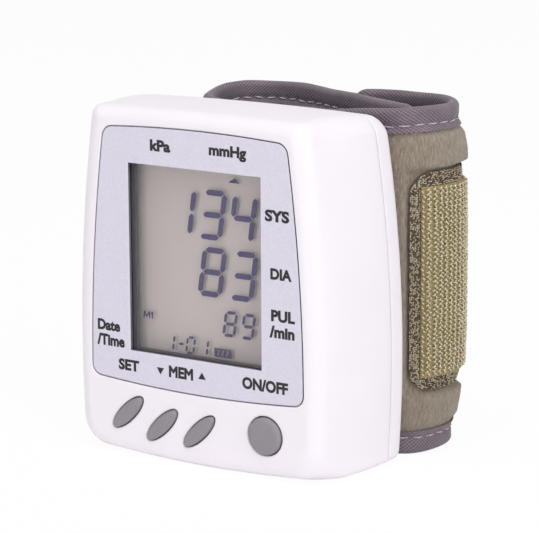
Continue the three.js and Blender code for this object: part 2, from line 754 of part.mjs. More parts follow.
// Battery door: a piece of the left wall with finger grooves
function batteryDoor() {
  const blank = box(
    [-FAR, doorFrontY + GAP, doorBottomZ + GAP],
    [BAY_INNER_X, doorBackY - GAP, doorTopZ - GAP],
  );
  const grip = (doorBottomZ + doorTopZ) / 2;
  const gripSpan = (DOOR_GROOVES - 1) * DOOR_GROOVE_PITCH;
  const grooves = Array.from({ length: DOOR_GROOVES }, (_, i) => {
    const z = grip - gripSpan / 2 + i * DOOR_GROOVE_PITCH;
    const y = (doorFrontY + doorBackY) / 2;
    const bow = (z - WIDEST_Z) ** 2 / (2 * SIDE_RADIUS);
    const skin = housingFrame(y).halfWidth - bow;
    return box(
      [-FAR, y - DOOR_GROOVE_LENGTH / 2, z - DOOR_GROOVE_WIDTH / 2],
      [-skin + DOOR_GROOVE_DEPTH, y + DOOR_GROOVE_LENGTH / 2, z + DOOR_GROOVE_WIDTH / 2],
    );
  });
  return cut(form.intersect(blank), cavity, ...grooves);
}

place("front_shell", frontShell(), WHITE_PLASTIC);
place("rear_shell", rearShell(), WHITE_PLASTIC);
place("battery_door", batteryDoor(), WHITE_PLASTIC);

// Face panel, lens, bezel and display cell
const panelWindow = displayBlock(0, -FAR, FAR);
place("face_panel", cut(slab(bowedOutline(panelFrame), 0, PANEL_THICKNESS), panelWindow), SILVER_PANEL);
place("display_lens", displayBlock(LENS_MARGIN, recessFloorY, lensBackY), CLEAR_LENS);

const bezelBackY = BOARD_FRONT_Y - GAP;
const bezelBlock = displayBlock(CELL_MARGIN + GAP + BEZEL_WALL, bezelFrontY, bezelBackY);
const cellPocket = displayBlock(CELL_MARGIN + GAP, cellFrontY - GAP, FAR);
place("display_bezel", cut(bezelBlock, displayBlock(0, -FAR, FAR), cellPocket), DARK_PLASTIC);
place("display_cell", displayBlock(CELL_MARGIN, cellFrontY, cellBackY), DISPLAY_GLASS);

const cellBottomZ = DISPLAY_Z - WINDOW_HEIGHT / 2 - CELL_MARGIN;
place(
  "display_connector",
  box(
    [-WINDOW_WIDTH / 2, cellBackY + GAP, cellBottomZ],
    [WINDOW_WIDTH / 2, BOARD_FRONT_Y - GAP, cellBottomZ + ELASTOMER_HEIGHT],
  ),
  BLACK_RUBBER,
);

// Circuit board and what is soldered to it
const boardOutline = bowedOutline(housingFrame(BOARD_FRONT_Y), WALL + BOARD_CLEARANCE);
const bossHoles = screwSpots.map(({ x, z }) => rodY(x, z, BOSS_RADIUS + GAP, 0, FAR));
place("circuit_board", cut(slab(boardOutline, BOARD_FRONT_Y, BOARD_BACK_Y), ...bossHoles), BOARD_GREEN);

const chipZ = valveTopZ - VALVE_HEIGHT / 2;
place(
  "processor_chip",
  box(
    [MANIFOLD_X - CHIP_SIZE / 2, BOARD_BACK_Y + GAP, chipZ - CHIP_SIZE / 2],
    [MANIFOLD_X + CHIP_SIZE / 2, BOARD_BACK_Y + GAP + CHIP_HEIGHT, chipZ + CHIP_SIZE / 2],
  ),
  BLACK_MOULDING,
);
const buzzerFrontY = BOARD_BACK_Y + GAP;
place(
  "buzzer",
  rodY(BUZZER_X, BUZZER_Z, BUZZER_RADIUS, buzzerFrontY, buzzerFrontY + BUZZER_HEIGHT, ROUND),
  BLACK_MOULDING,
);

for (const button of buttons) {
  const half = SWITCH_SIZE / 2;
  const body = box(
    [button.x - half, switchFrontY, button.z - half],
    [button.x + half, switchBackY, button.z + half],
  );
  const tip = rodY(
    button.x,
    button.z,
    SWITCH_TIP_RADIUS,
    switchFrontY - SWITCH_TIP,
    switchBackY,
  );
  place(button.name + "_switch", join(body, tip), BLACK_MOULDING);
}

// Buttons: domed cap, body in the hole, flange behind the wall, stem to the switch
for (const button of buttons) {
  const dome = [
    ...BUTTON_ROUND.map(([rise, inward]) => [-BUTTON_PROUD * rise, -BUTTON_EDGE * inward]),
    [0, 0],
    [flangeFrontY, 0],
    [flangeFrontY, BUTTON_FLANGE],
    [flangeBackY, BUTTON_FLANGE],
  ];
  const cap = loft(
    dome.map(([y, grow]) =>
      ovalRing(button, button.halfLength + grow, button.halfWidth + grow, y),
    ),
  );
  const stem = rodY(button.x, button.z, BUTTON_STEM_RADIUS, flangeBackY - ROOT, stemEndY);
  place(button.name + "_button", join(cap, stem), GREY_RUBBER);
}

// Case screws
screwSpots.forEach(({ x, z }, i) => {
  const headFront = HOUSING_DEPTH - COUNTERBORE_DEPTH + GAP;
  const head = rodY(x, z, SCREW_HEAD_RADIUS, headFront, headFront + SCREW_HEAD_HEIGHT);
  const shank = rodY(x, z, SCREW_RADIUS, headFront - SCREW_LENGTH, headFront + ROOT);
  const slot = [
    [SCREW_CROSS_HALF_LENGTH, SCREW_CROSS_HALF_WIDTH],
    [SCREW_CROSS_HALF_WIDTH, SCREW_CROSS_HALF_LENGTH],
  ].map(([w, h]) => box([x - w, headFront + SCREW_CROSS_FLOOR, z - h], [x + w, FAR, z + h]));
  place("case_screw_" + (i + 1), cut(join(head, shank), ...slot), STEEL);
});

// Battery bay: tray open to the door, two cells, springs and plates
const firstX = BAY_INNER_X - GAP - BATTERY_RADIUS;
const secondX = firstX - BATTERY_PITCH;
const trayBlock = box(
  [TRAY_MOUTH_X, bayFrontY - TRAY_WALL, BAY_FLOOR_Z - TRAY_WALL],
  [BAY_INNER_X + TRAY_WALL, bayBackY + TRAY_WALL, bayTopZ + TRAY_WALL],
);
const bay = box([-FAR, bayFrontY, BAY_FLOOR_Z], [BAY_INNER_X, bayBackY, bayTopZ]);
place("battery_tray", cut(trayBlock, bay), PALE_PLASTIC);

const batteryProfile = [
  [0, 0],
  [BATTERY_RADIUS - BATTERY_CHAMFER, 0],
  [BATTERY_RADIUS, BATTERY_CHAMFER],
  [BATTERY_RADIUS, BATTERY_LENGTH - BATTERY_NUB_HEIGHT - BATTERY_CHAMFER],
  [BATTERY_RADIUS - BATTERY_CHAMFER, BATTERY_LENGTH - BATTERY_NUB_HEIGHT],
  [BATTERY_NUB_RADIUS, BATTERY_LENGTH - BATTERY_NUB_HEIGHT],
  [BATTERY_NUB_RADIUS, BATTERY_LENGTH],
  [0, BATTERY_LENGTH],
];
const plateStack = GAP + CONTACT_THICKNESS + GAP;
const springStack = plateStack + SPRING_HEIGHT + GAP;
const downProfile = batteryProfile.map(([r, h]) => [r, BATTERY_LENGTH - h]).reverse();
place("battery_1", turned(batteryProfile, firstX, batteryY, BAY_FLOOR_Z + springStack), BATTERY_SLEEVE);
place("battery_2", turned(downProfile, secondX, batteryY, BAY_FLOOR_Z + plateStack), BATTERY_SLEEVE);

// A conical contact spring, wide end on its plate
function contactSpring(x, wideZ, direction) {
  const stepsPerTurn = 8;
  const sides = 5;
  const count = SPRING_TURNS * stepsPerTurn;
  const rise = SPRING_HEIGHT - SPRING_WIRE;
  const rings = Array.from({ length: count + 1 }, (_, i) => {
    const share = i / count;
    const turn = share * SPRING_TURNS * Math.PI * 2;
    const radius = THREE.MathUtils.lerp(SPRING_WIDE_RADIUS, SPRING_NARROW_RADIUS, share);
    const z = wideZ + direction * (SPRING_WIRE / 2 + rise * share);
    return Array.from({ length: sides }, (_, j) => {
      const around = (j / sides) * Math.PI * 2;
      const reach = radius + (SPRING_WIRE / 2) * Math.cos(around);
      return new THREE.Vector3(
        x + reach * Math.cos(turn),
        batteryY + reach * Math.sin(turn),
        z + (SPRING_WIRE / 2) * Math.sin(around),
      );
    });
  });
  return loft(rings);
}

const floorPlateZ = BAY_FLOOR_Z + GAP;
const roofPlateZ = bayTopZ - GAP - CONTACT_THICKNESS;
const contactHalf = CONTACT_WIDTH / 2;
function contactPlate(x0, x1, z) {
  return box([x0, batteryY - contactHalf, z], [x1, batteryY + contactHalf, z + CONTACT_THICKNESS]);
}
place("bridge_contact", contactPlate(secondX - contactHalf, firstX + contactHalf, floorPlateZ), STEEL);
place("plus_contact", contactPlate(firstX - contactHalf, firstX + contactHalf, roofPlateZ), STEEL);
place("minus_contact", contactPlate(secondX - contactHalf, secondX + contactHalf, roofPlateZ), STEEL);
place("contact_spring_1", contactSpring(firstX, BAY_FLOOR_Z + plateStack, 1), STEEL);
place("contact_spring_2", contactSpring(secondX, bayTopZ - plateStack, -1), STEEL);

// Pump: motor, shaft with eccentric, diaphragm, head with its outlet nozzle
const motorProfile = [
  [0, 0],
  [MOTOR_BOSS_RADIUS, 0],
  [MOTOR_BOSS_RADIUS, MOTOR_BOSS_HEIGHT],
  [MOTOR_RADIUS - MOTOR_CHAMFER, MOTOR_BOSS_HEIGHT],
  [MOTOR_RADIUS, MOTOR_BOSS_HEIGHT + MOTOR_CHAMFER],
  [MOTOR_RADIUS, MOTOR_LENGTH - MOTOR_CHAMFER],
  [MOTOR_RADIUS - MOTOR_CHAMFER, MOTOR_LENGTH],
  [0, MOTOR_LENGTH],
];
place("pump_motor", turned(motorProfile, PUMP_X, AIR_Y, MOTOR_FLOOR_Z), STEEL);

const shaftTopZ = pumpFloorZ + SHAFT_LENGTH;
const shaft = rodZ(PUMP_X, AIR_Y, SHAFT_RADIUS, pumpFloorZ, shaftTopZ);
const eccentric = rodZ(
  PUMP_X + ECCENTRIC_OFFSET,
  AIR_Y,
  ECCENTRIC_RADIUS,
  shaftTopZ - ECCENTRIC_HEIGHT,
  shaftTopZ,
  ROUND,
);
place("pump_eccentric", join(shaft, eccentric), STEEL);

const pumpHalf = PUMP_WIDTH / 2;
const diaphragmFloorZ = pumpFloorZ + PUMP_BORE_DEPTH - GAP - DIAPHRAGM_HEIGHT;
const diaphragmProfile = [
  [0, 0],
  [DIAPHRAGM_TIP_RADIUS, 0],
  [DIAPHRAGM_NECK_RADIUS, DIAPHRAGM_NECK_HEIGHT],
  [PUMP_BORE_RADIUS - GAP, DIAPHRAGM_RIM_HEIGHT],
  [PUMP_BORE_RADIUS - GAP, DIAPHRAGM_HEIGHT],
  [0, DIAPHRAGM_HEIGHT],
];
place("pump_diaphragm", turned(diaphragmProfile, PUMP_X, AIR_Y, diaphragmFloorZ), BLACK_RUBBER);

const pumpBlock = box(
  [PUMP_X - pumpHalf, AIR_Y - pumpHalf, pumpFloorZ],
  [PUMP_X + pumpHalf, AIR_Y + pumpHalf, pumpTopZ],
);
const pumpBore = rodZ(PUMP_X, AIR_Y, PUMP_BORE_RADIUS, 0, pumpFloorZ + PUMP_BORE_DEPTH, ROUND);
const pumpNozzle = rodZ(PUMP_X, AIR_Y, NOZZLE_RADIUS, pumpTopZ - ROOT, pumpTopZ + NOZZLE_LENGTH);
place("pump_head", join(cut(pumpBlock, pumpBore), pumpNozzle), BLACK_MOULDING);

// Manifold with the sensor in front, the valve below and the cuff nipple behind
const manifoldHalf = MANIFOLD_WIDTH / 2;
const manifoldBlock = box(
  [MANIFOLD_X - manifoldHalf, AIR_Y - manifoldHalf, MANIFOLD_FLOOR_Z],
  [MANIFOLD_X + manifoldHalf, AIR_Y + manifoldHalf, manifoldTopZ],
);
const manifoldNozzle = rodZ(
  MANIFOLD_X,
  AIR_Y,
  NOZZLE_RADIUS,
  manifoldTopZ - ROOT,
  manifoldTopZ + NOZZLE_LENGTH,
);
place("air_manifold", join(manifoldBlock, manifoldNozzle), PALE_PLASTIC);

const sensorHalf = SENSOR_SIZE / 2;
place(
  "pressure_sensor",
  box(
    [MANIFOLD_X - sensorHalf, BOARD_BACK_Y + GAP, portZ - sensorHalf],
    [MANIFOLD_X + sensorHalf, AIR_Y - manifoldHalf - GAP, portZ + sensorHalf],
  ),
  BLACK_MOULDING,
);

const nippleFrontY = AIR_Y + manifoldHalf + GAP;
const nippleFlange = rodY(
  MANIFOLD_X,
  portZ,
  NIPPLE_FLANGE_RADIUS,
  nippleFrontY,
  CAVITY_BACK_Y - GAP,
  ROUND,
);
const nippleStem = rodY(MANIFOLD_X, portZ, NIPPLE_RADIUS, nippleFrontY, plateBackY);
place("cuff_nipple", join(nippleFlange, nippleStem), PALE_PLASTIC);

const valveHalf = VALVE_WIDTH / 2;
const valveFloorZ = valveTopZ - VALVE_HEIGHT;
const plungerTopZ = valveFloorZ + PLUNGER_LENGTH;
const valveBlock = box(
  [MANIFOLD_X - valveHalf, AIR_Y - valveHalf, valveFloorZ],
  [MANIFOLD_X + valveHalf, AIR_Y + valveHalf, valveTopZ],
);
const plungerBore = rodZ(
  MANIFOLD_X,
  AIR_Y,
  PLUNGER_RADIUS + GAP,
  0,
  plungerTopZ + PLUNGER_TRAVEL + GAP,
);
place("exhaust_valve", cut(valveBlock, plungerBore), STEEL);
place(
  "valve_plunger",
  rodZ(MANIFOLD_X, AIR_Y, PLUNGER_RADIUS, valveFloorZ - PLUNGER_PROUD, plungerTopZ),
  STEEL,
);

// Pump tube, arched from the pump's nozzle to the manifold's
const tubeTopZ = pumpTopZ + NOZZLE_LENGTH + TUBE_RISE;
const tubeReach = PUMP_X - MANIFOLD_X;
const tubePath = new THREE.CatmullRomCurve3(
  [
    [PUMP_X, pumpTopZ + NOZZLE_LENGTH + GAP],
    [PUMP_X, pumpTopZ + NOZZLE_LENGTH + TUBE_LEAD],
    ...TUBE_ARCH.map(([share, drop]) => [PUMP_X - tubeReach * share, tubeTopZ - drop]),
    [MANIFOLD_X, (tubeTopZ + manifoldTopZ) / 2],
    [MANIFOLD_X, manifoldTopZ + NOZZLE_LENGTH + GAP],
  ].map(([x, z]) => new THREE.Vector3(x, AIR_Y, z)),
);
const tubeSection = new THREE.Shape();
tubeSection.absarc(0, 0, TUBE_RADIUS, 0, Math.PI * 2);
const tube = new THREE.ExtrudeGeometry(tubeSection, {
  steps: TUBE_STEPS,
  curveSegments: TUBE_SIDES,
  extrudePath: tubePath,
});
place("pump_tube", solidOf(tube), CLEAR_TUBE);

// Cuff retainer plate with pegs, and the bladder behind it
const pegEndY = HOUSING_DEPTH - BACK_WALL + GAP;
const plateBlock = box(
  [BLADDER_LEFT_X, plateFrontY, CLOTH_BOTTOM + PLATE_MARGIN],
  [BLADDER_RIGHT_X, plateBackY, CLOTH_TOP - PLATE_MARGIN],
);
const pegs = pegSpots.map(({ x, z }) => rodY(x, z, PEG_RADIUS, pegEndY, plateBackY));
const platePort = rodY(MANIFOLD_X, portZ, NIPPLE_RADIUS + GAP, 0, FAR);
place("cuff_retainer_plate", cut(join(plateBlock, ...pegs), platePort), PALE_PLASTIC);

const bladderFrontOffset = BASE_Y - plateBackY - GAP;
const bladderFrom = BLADDER_LEFT_X - BASE_LEFT_X;
const bladderTo = BLADDER_RIGHT_X - BASE_LEFT_X;
const bladderBottom = CLOTH_BOTTOM + BLADDER_MARGIN;
const bladderTop = CLOTH_TOP - BLADDER_MARGIN;

// How far the bladder swells at a place on the base
function bladderSwell(length, z) {
  const across = (2 * (length - bladderFrom)) / (bladderTo - bladderFrom) - 1;
  const upward = (2 * (z - bladderBottom)) / (bladderTop - bladderBottom) - 1;
  const dome = (value) => Math.max(0, 1 - value ** 4);
  return BLADDER_SWELL * dome(across) * dome(upward);
}
const bladderHeights = heights(bladderBottom, bladderTop, BLADDER_ROWS);
place(
  "cuff_bladder",
  ribbon(BASE_PATH, 1, bladderFrom, bladderTo, CUFF_STEP, (length) =>
    layer(
      bladderHeights,
      (z) => bladderFrontOffset - BLADDER_EDGE - bladderSwell(length, z),
      () => bladderFrontOffset,
    ),
  ),
  BLADDER_FILM,
);

// Cuff base: cover against the housing, lining over the bladder, two bindings
const baseLength = BASE_PATH.getLength();
const coverPegHoles = pegSpots.map(({ x, z }) => rodY(x, z, PEG_RADIUS + GAP, 0, FAR));
const baseCover = ribbon(BASE_PATH, 1, 0, baseLength, CUFF_STEP, () =>
  layer(
    [CLOTH_BOTTOM, CLOTH_TOP],
    () => HALF_BINDING - CLOTH_THICKNESS,
    () => HALF_BINDING,
  ),
);
place("base_cover", cut(baseCover, platePort, ...coverPegHoles), PLUSH);

// The lining's near face: over the bladder's edge, then easing in to the bindings' thickness
const liningOverBladder = bladderFrontOffset - BLADDER_EDGE - GAP;
const liningAtFold = CLOTH_THICKNESS - HALF_BINDING;
function liningFace(length, z) {
  const ease = THREE.MathUtils.smoothstep(length, bladderTo, baseLength - 2 * FOLD_GAP);
  const flat = THREE.MathUtils.lerp(liningOverBladder, liningAtFold, ease);
  return flat - bladderSwell(length, z);
}
place(
  "base_lining",
  ribbon(BASE_PATH, 1, 0, baseLength - FOLD_GAP, CUFF_STEP, (length) =>
    layer(
      CLOTH_HEIGHTS,
      (z) => liningFace(length, z) - CLOTH_THICKNESS,
      (z) => liningFace(length, z),
    ),
  ),
  NYLON,
);

const topBinding = binding(CUFF_TOP_Z - BINDING_HEIGHT, CUFF_TOP_Z);
const bottomBinding = binding(CUFF_BOTTOM_Z + BINDING_HEIGHT, CUFF_BOTTOM_Z);
function placeBindings(prefix, path, outside, step) {
  const length = path.getLength();
  const upper = ribbon(path, outside, 0, length, step, () => topBinding);
  const lower = ribbon(path, outside, 0, length, step, () => bottomBinding);
  place(prefix + "_top_binding", upper, TWILL_BINDING);
  place(prefix + "_bottom_binding", lower, TWILL_BINDING);
}
placeBindings("base", BASE_PATH, 1, CUFF_STEP);

// A flap's plush face and lining, meeting at its middle line
function plushFace(crown, length, total) {
  return (z) => HALF_BINDING + crown * fullness(z) * swellAlong(length, total);
}

function placeFlap(prefix, path, outside, crown, step) {
  const total = path.getLength();
  const plush = ribbon(path, outside, 0, total, step, (length) =>
    layer(CLOTH_HEIGHTS, () => GAP / 2, plushFace(crown, length, total)),
  );
  const lining = ribbon(path, outside, 0, total, step, (length) =>
    layer(
      CLOTH_HEIGHTS,
      (z) => -HALF_BINDING - LINING_CROWN * fullness(z) * swellAlong(length, total),
      () => -GAP / 2,
    ),
  );
  place(prefix + "_plush", plush, PLUSH);
  place(prefix + "_lining", lining, NYLON);
  placeBindings(prefix, path, outside, step);
}
placeFlap("inner_flap", INNER_PATH, -1, INNER_CROWN, CUFF_STEP);
placeFlap("outer_flap", OUTER_PATH, 1, OUTER_CROWN, TIGHT_CUFF_STEP);

// Stitched patch and hook tape on the outer flap
const outerTotal = OUTER_PATH.getLength();
function patchLayer(from, to, bottom, top, lift, thickness) {
  const zs = heights(bottom, top, PATCH_ROWS);
  return ribbon(OUTER_PATH, 1, from, to, TIGHT_CUFF_STEP, (length) => {
    const face = plushFace(OUTER_CROWN, length, outerTotal);
    return layer(
      zs,
      (z) => face(z) + lift,
      (z) => face(z) + lift + thickness,
    );
  });
}
place(
  "patch_backing",
  patchLayer(
    PATCH_START,
    PATCH_START + PATCH_LENGTH,
    PATCH_BOTTOM_Z,
    PATCH_TOP_Z,
    GAP,
    PATCH_THICKNESS,
  ),
  PATCH_CLOTH,
);
place(
  "hook_patch",
  patchLayer(
    PATCH_START + HOOK_FOLD_MARGIN,
    PATCH_START + PATCH_LENGTH - HOOK_MARGIN,
    PATCH_BOTTOM_Z + HOOK_MARGIN,
    PATCH_TOP_Z - HOOK_MARGIN,
    GAP + PATCH_THICKNESS + GAP,
    HOOK_THICKNESS,
  ),
  HOOK_TAPE,
);

export default monitor;
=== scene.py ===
"""Dresses the wrist blood pressure monitor round its packed construction.

Lengths are in millimetres, measured from the middle of the housing's front face at floor level:
x to the right, y into the housing, z up. A sketch turns them into the frame's metres.
"""

import logging
import random
from collections.abc import Callable, Sequence
from dataclasses import dataclass
from enum import Enum
from math import atan2, ceil, cos, floor, pi, radians, sin, sqrt

import bmesh
import bpy
import numpy as np
from mathutils import Matrix, Vector, noise
from mathutils.geometry import tessellate_polygon


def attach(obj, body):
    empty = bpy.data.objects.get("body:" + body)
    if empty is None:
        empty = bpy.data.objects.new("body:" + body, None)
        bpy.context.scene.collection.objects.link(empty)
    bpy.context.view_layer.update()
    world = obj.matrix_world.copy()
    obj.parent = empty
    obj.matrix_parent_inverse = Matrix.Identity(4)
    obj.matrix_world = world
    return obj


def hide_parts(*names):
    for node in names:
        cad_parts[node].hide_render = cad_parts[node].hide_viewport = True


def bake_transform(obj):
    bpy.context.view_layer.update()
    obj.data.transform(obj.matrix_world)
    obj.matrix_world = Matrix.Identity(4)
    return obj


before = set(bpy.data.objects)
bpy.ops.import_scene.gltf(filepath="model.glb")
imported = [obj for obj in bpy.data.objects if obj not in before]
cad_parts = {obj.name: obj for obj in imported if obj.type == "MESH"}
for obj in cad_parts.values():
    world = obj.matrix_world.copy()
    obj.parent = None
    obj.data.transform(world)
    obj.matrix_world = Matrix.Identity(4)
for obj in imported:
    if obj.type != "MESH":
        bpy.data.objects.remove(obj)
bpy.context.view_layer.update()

LOG = logging.getLogger("wrist_monitor")
MM = 0.001
HOUSING_DEPTH = 27.0
FRONT_TO_FRAME = np.array([0.0, -HOUSING_DEPTH / 2, 0.0])
CLOTH_MAP = "cloth"  # attribute that holds a fabric's own coordinates in millimetres
WAVE_PERIOD = pi / 10  # length of one wave of a wave texture at scale 1
SEED = 11
CORNERS = ((-1, -1), (1, -1), (1, 1), (-1, 1))  # of a rectangle, as signs from its middle
THREAD_SIDES = 6
THREAD_TIP = 0.55  # share of a thread's radius left at its ends
CRISP_DEG = 40.0  # edges that turn more than this stay crisp, where nothing else is said
HIDDEN = slice(-2, 1, -6)  # rows of a layer's outer face that its hidden side keeps
Array = np.ndarray
Piece = bpy.types.Object
Tree = bpy.types.NodeTree
Pair = tuple[float, float]
Triple = tuple[float, float, float]
Pattern = tuple[bpy.types.NodeSocket, bpy.types.NodeSocket]  # a tone from 0 to 1, and a height
Face = Callable[[Array, Array], Array]  # gives a value for lengths and heights


class Body(str, Enum):
    """The moving bodies that pieces ride on."""

    HOUSING = "housing"
    SET_KEY = "set_key"
    MEMORY_DOWN_KEY = "memory_down_key"
    MEMORY_UP_KEY = "memory_up_key"
    POWER_KEY = "power_key"
    DOOR = "door"
    OUTER_FLAP = "outer_flap"
    INNER_FLAP = "inner_flap"

    def carry(self, piece: Piece) -> None:
        """Lets a piece ride on the body."""
        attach(piece, self.value)


class Edge(Enum):
    """The two long edges of the cuff."""

    TOP = "top"
    BOTTOM = "bottom"


class Weave(Enum):
    """A weave, as the angle of its ribs in degrees."""

    TWILL = -52.0
    PLAIN = 0.0


def linear(colour: str) -> tuple[float, float, float, float]:
    """Turns an sRGB hex colour into linear red, green and blue, with alpha 1."""
    shares = [int(colour[i : i + 2], 16) / 255 for i in (1, 3, 5)]
    return (*(s / 12.92 if s <= 0.04045 else ((s + 0.055) / 1.055) ** 2.4 for s in shares), 1.0)


def add_node(tree: Tree, kind: str, inputs: dict | None = None, **settings: object) -> bpy.types.Node:
    """Adds a shader node.

    Args:
        tree: the nodes that it joins.
        kind: its class name without the common start.
        inputs: values or sockets, by the input's name or number.
        settings: the node's own properties.

    Returns:
        The new node.
    """
    node = tree.nodes.new("ShaderNode" + kind)
    for name, value in settings.items():
        setattr(node, name, value)
    for key, value in (inputs or {}).items():
        if isinstance(value, bpy.types.NodeSocket):
            tree.links.new(value, node.inputs[key])
        else:
            node.inputs[key].default_value = value
    return node


@dataclass(frozen=True)
class Finish:
    """A surface finish: a real material, its two tones and its gloss."""

    name: str
    slot: str
    colour: str
    shade: str
    roughness: float
    ior: float = 1.5
    metallic: float = 0.0
    constants: tuple[tuple[str, float], ...] = ()
    depth_mm: float = 0.006

    def material(self) -> bpy.types.Material:
        """Returns the finish's material, mixing it at first use."""
        return bpy.data.materials.get(self.name) or self.mixed()

    def mixed(self) -> bpy.types.Material:
        """Mixes the material from its constants and its pattern.

        Returns:
            A new node material.
        """
        made = bpy.data.materials.new(self.name)
        made.use_nodes = True
        made.diffuse_color = linear(self.colour)
        tree = made.node_tree
        tree.nodes.clear()
        tone, height = self.pattern(tree)
        tones = {0: tone, 6: linear(self.colour), 7: linear(self.shade)}
        colour = add_node(tree, "Mix", tones, data_type="RGBA")
        relief = add_node(tree, "Bump", {"Height": height, "Distance": self.depth_mm * MM})
        surface = {
            "Base Color": colour.outputs[2],
            "Normal": relief.outputs["Normal"],
            "Roughness": self.roughness,
            "IOR": self.ior,
            "Metallic": self.metallic,
            **dict(self.constants),
        }
        shader = add_node(tree, "BsdfPrincipled", surface)
        add_node(tree, "OutputMaterial", {"Surface": shader.outputs["BSDF"]})
        return made

    def pattern(self, tree: Tree) -> Pattern:
        """Draws the finish's pattern; each kind of finish has its own."""
        raise NotImplementedError


@dataclass(frozen=True)
class Moulded(Finish):
    """A moulded surface: fine grain from the tool, slow drift of tone."""

    grain_mm: float = 0.4
    drift_mm: float = 14.0

    def pattern(self, tree: Tree) -> Pattern:
        """Draws grain and drift.

        Args:
            tree: the material's nodes.

        Returns:
            Drift as tone, grain as height.
        """
        place = add_node(tree, "TexCoord").outputs["Object"]
        sizes = ((self.grain_mm, 2.0), (self.drift_mm, 3.0))
        grain, drift = (
            add_node(tree, "TexNoise", {"Vector": place, "Scale": 1 / (mm * MM), "Detail": detail})
            for mm, detail in sizes
        )
        return drift.outputs["Fac"], grain.outputs["Fac"]


@dataclass(frozen=True)
class Flaked(Finish):
    """A lacquer with metal flakes: each flake has its own tone and tilt."""

    flake_mm: float = 0.35
    depth_mm: float = 0.003

    def pattern(self, tree: Tree) -> Pattern:
        """Draws the flakes.

        Args:
            tree: the material's nodes.

        Returns:
            Each flake's tone, its distance field as height.
        """
        place = add_node(tree, "TexCoord").outputs["Object"]
        flakes = add_node(tree, "TexVoronoi", {"Vector": place, "Scale": 1 / (self.flake_mm * MM)})
        tone = add_node(tree, "RGBToBW", {"Color": flakes.outputs["Color"]})
        return tone.outputs["Val"], flakes.outputs["Distance"]


@dataclass(frozen=True)
class Rolled(Finish):
    """Rolled or drawn metal: faint lines along one direction."""

    line_mm: float = 0.25
    run_mm: float = 6.0
    depth_mm: float = 0.003

    def pattern(self, tree: Tree) -> Pattern:
        """Draws the lines.

        Args:
            tree: the material's nodes.

        Returns:
            The lines as tone and height.
        """
        place = add_node(tree, "TexCoord").outputs["Object"]
        across, along = 1 / (self.line_mm * MM), 1 / (self.run_mm * MM)
        stretched = add_node(tree, "Mapping", {"Vector": place, "Scale": (across, across, along)})
        lines = add_node(tree, "TexNoise", {"Vector": stretched.outputs[0], "Scale": 1.0, "Detail": 3.0})
        return lines.outputs["Fac"], lines.outputs["Fac"]


@dataclass(frozen=True)
class Woven(Finish):
    """Cloth woven of visible threads, in ribs across its own length."""

    weave: Weave = Weave.TWILL
    rib_mm: float = 0.6
    patch_mm: float = 5.0
    depth_mm: float = 0.05

    def pattern(self, tree: Tree) -> Pattern:
        """Draws ribs crossed by threads, over slow patches of wear.

        Args:
            tree: the material's nodes.

        Returns:
            Ribs and patches as tone, ribs as height.
        """
        cloth = add_node(tree, "Attribute", attribute_name=CLOTH_MAP).outputs["Vector"]
        turn = (0.0, 0.0, radians(self.weave.value))
        turned = add_node(tree, "Mapping", {"Vector": cloth, "Rotation": turn})
        wave = {"Vector": turned.outputs[0], "Scale": WAVE_PERIOD / self.rib_mm}
        wave |= {"Distortion": 1.2, "Detail": 2.0, "Detail Scale": 2.0}
        ribs, threads = (
            add_node(tree, "TexWave", wave, bands_direction=way).outputs["Fac"] for way in ("X", "Y")
        )
        patches = add_node(tree, "TexNoise", {"Vector": cloth, "Scale": 1 / self.patch_mm, "Detail": 4.0})
        crossed = add_node(tree, "Math", {0: threads, 1: 0.45, 2: ribs}, operation="MULTIPLY_ADD")
        wear = add_node(tree, "Math", {0: patches.outputs["Fac"], 1: 0.5}, operation="MULTIPLY")
        parts = {0: crossed.outputs[0], 1: 0.55, 2: wear.outputs[0]}
        tone = add_node(tree, "Math", parts, operation="MULTIPLY_ADD", use_clamp=True)
        return tone.outputs[0], crossed.outputs[0]


@dataclass(frozen=True)
class Pile(Finish):
    """A brushed pile: fine upright fibres in streaks, with slow light and dark strokes."""

    fibre_mm: float = 0.32
    streak_mm: float = 1.7
    stroke_mm: float = 7.0
    depth_mm: float = 0.22

    def pattern(self, tree: Tree) -> Pattern:
        """Draws the fibres and the strokes.

        Args:
            tree: the material's nodes.

        Returns:
            Fibres and strokes as tone, fibres as height.
        """
        cloth = add_node(tree, "Attribute", attribute_name=CLOTH_MAP).outputs["Vector"]
        scale = (1 / self.fibre_mm, 1 / self.streak_mm, 1.0)
        stretched = add_node(tree, "Mapping", {"Vector": cloth, "Scale": scale})
        fine = {"Vector": stretched.outputs[0], "Scale": 1.0, "Detail": 4.0, "Roughness": 0.65}
        fibres = add_node(tree, "TexNoise", fine)
        strokes = add_node(tree, "TexNoise", {"Vector": cloth, "Scale": 1 / self.stroke_mm, "Detail": 3.0})
        range_of = {"Value": fibres.outputs["Fac"], "From Min": 0.36, "From Max": 0.64}
        sharp = add_node(tree, "MapRange", range_of)
        slow = add_node(tree, "Math", {0: strokes.outputs["Fac"], 1: 0.5}, operation="MULTIPLY")
        parts = {0: sharp.outputs[0], 1: 0.55, 2: slow.outputs[0]}
        tone = add_node(tree, "Math", parts, operation="MULTIPLY_ADD", use_clamp=True)
        return tone.outputs[0], sharp.outputs[0]


@dataclass(frozen=True)
class Twisted(Finish):
    """Sewing thread: plies twisted round each other along its length."""

    twist_mm: float = 0.7
    depth_mm: float = 0.05

    def pattern(self, tree: Tree) -> Pattern:
        """Draws the twist.

        Args:
            tree: the material's nodes.

        Returns:
            The plies as tone and height.
        """
        cloth = add_node(tree, "Attribute", attribute_name=CLOTH_MAP).outputs["Vector"]
        wave = {"Vector": cloth, "Scale": WAVE_PERIOD / self.twist_mm, "Distortion": 0.5}
        plies = add_node(tree, "TexWave", wave, bands_direction="DIAGONAL").outputs["Fac"]
        return plies, plies


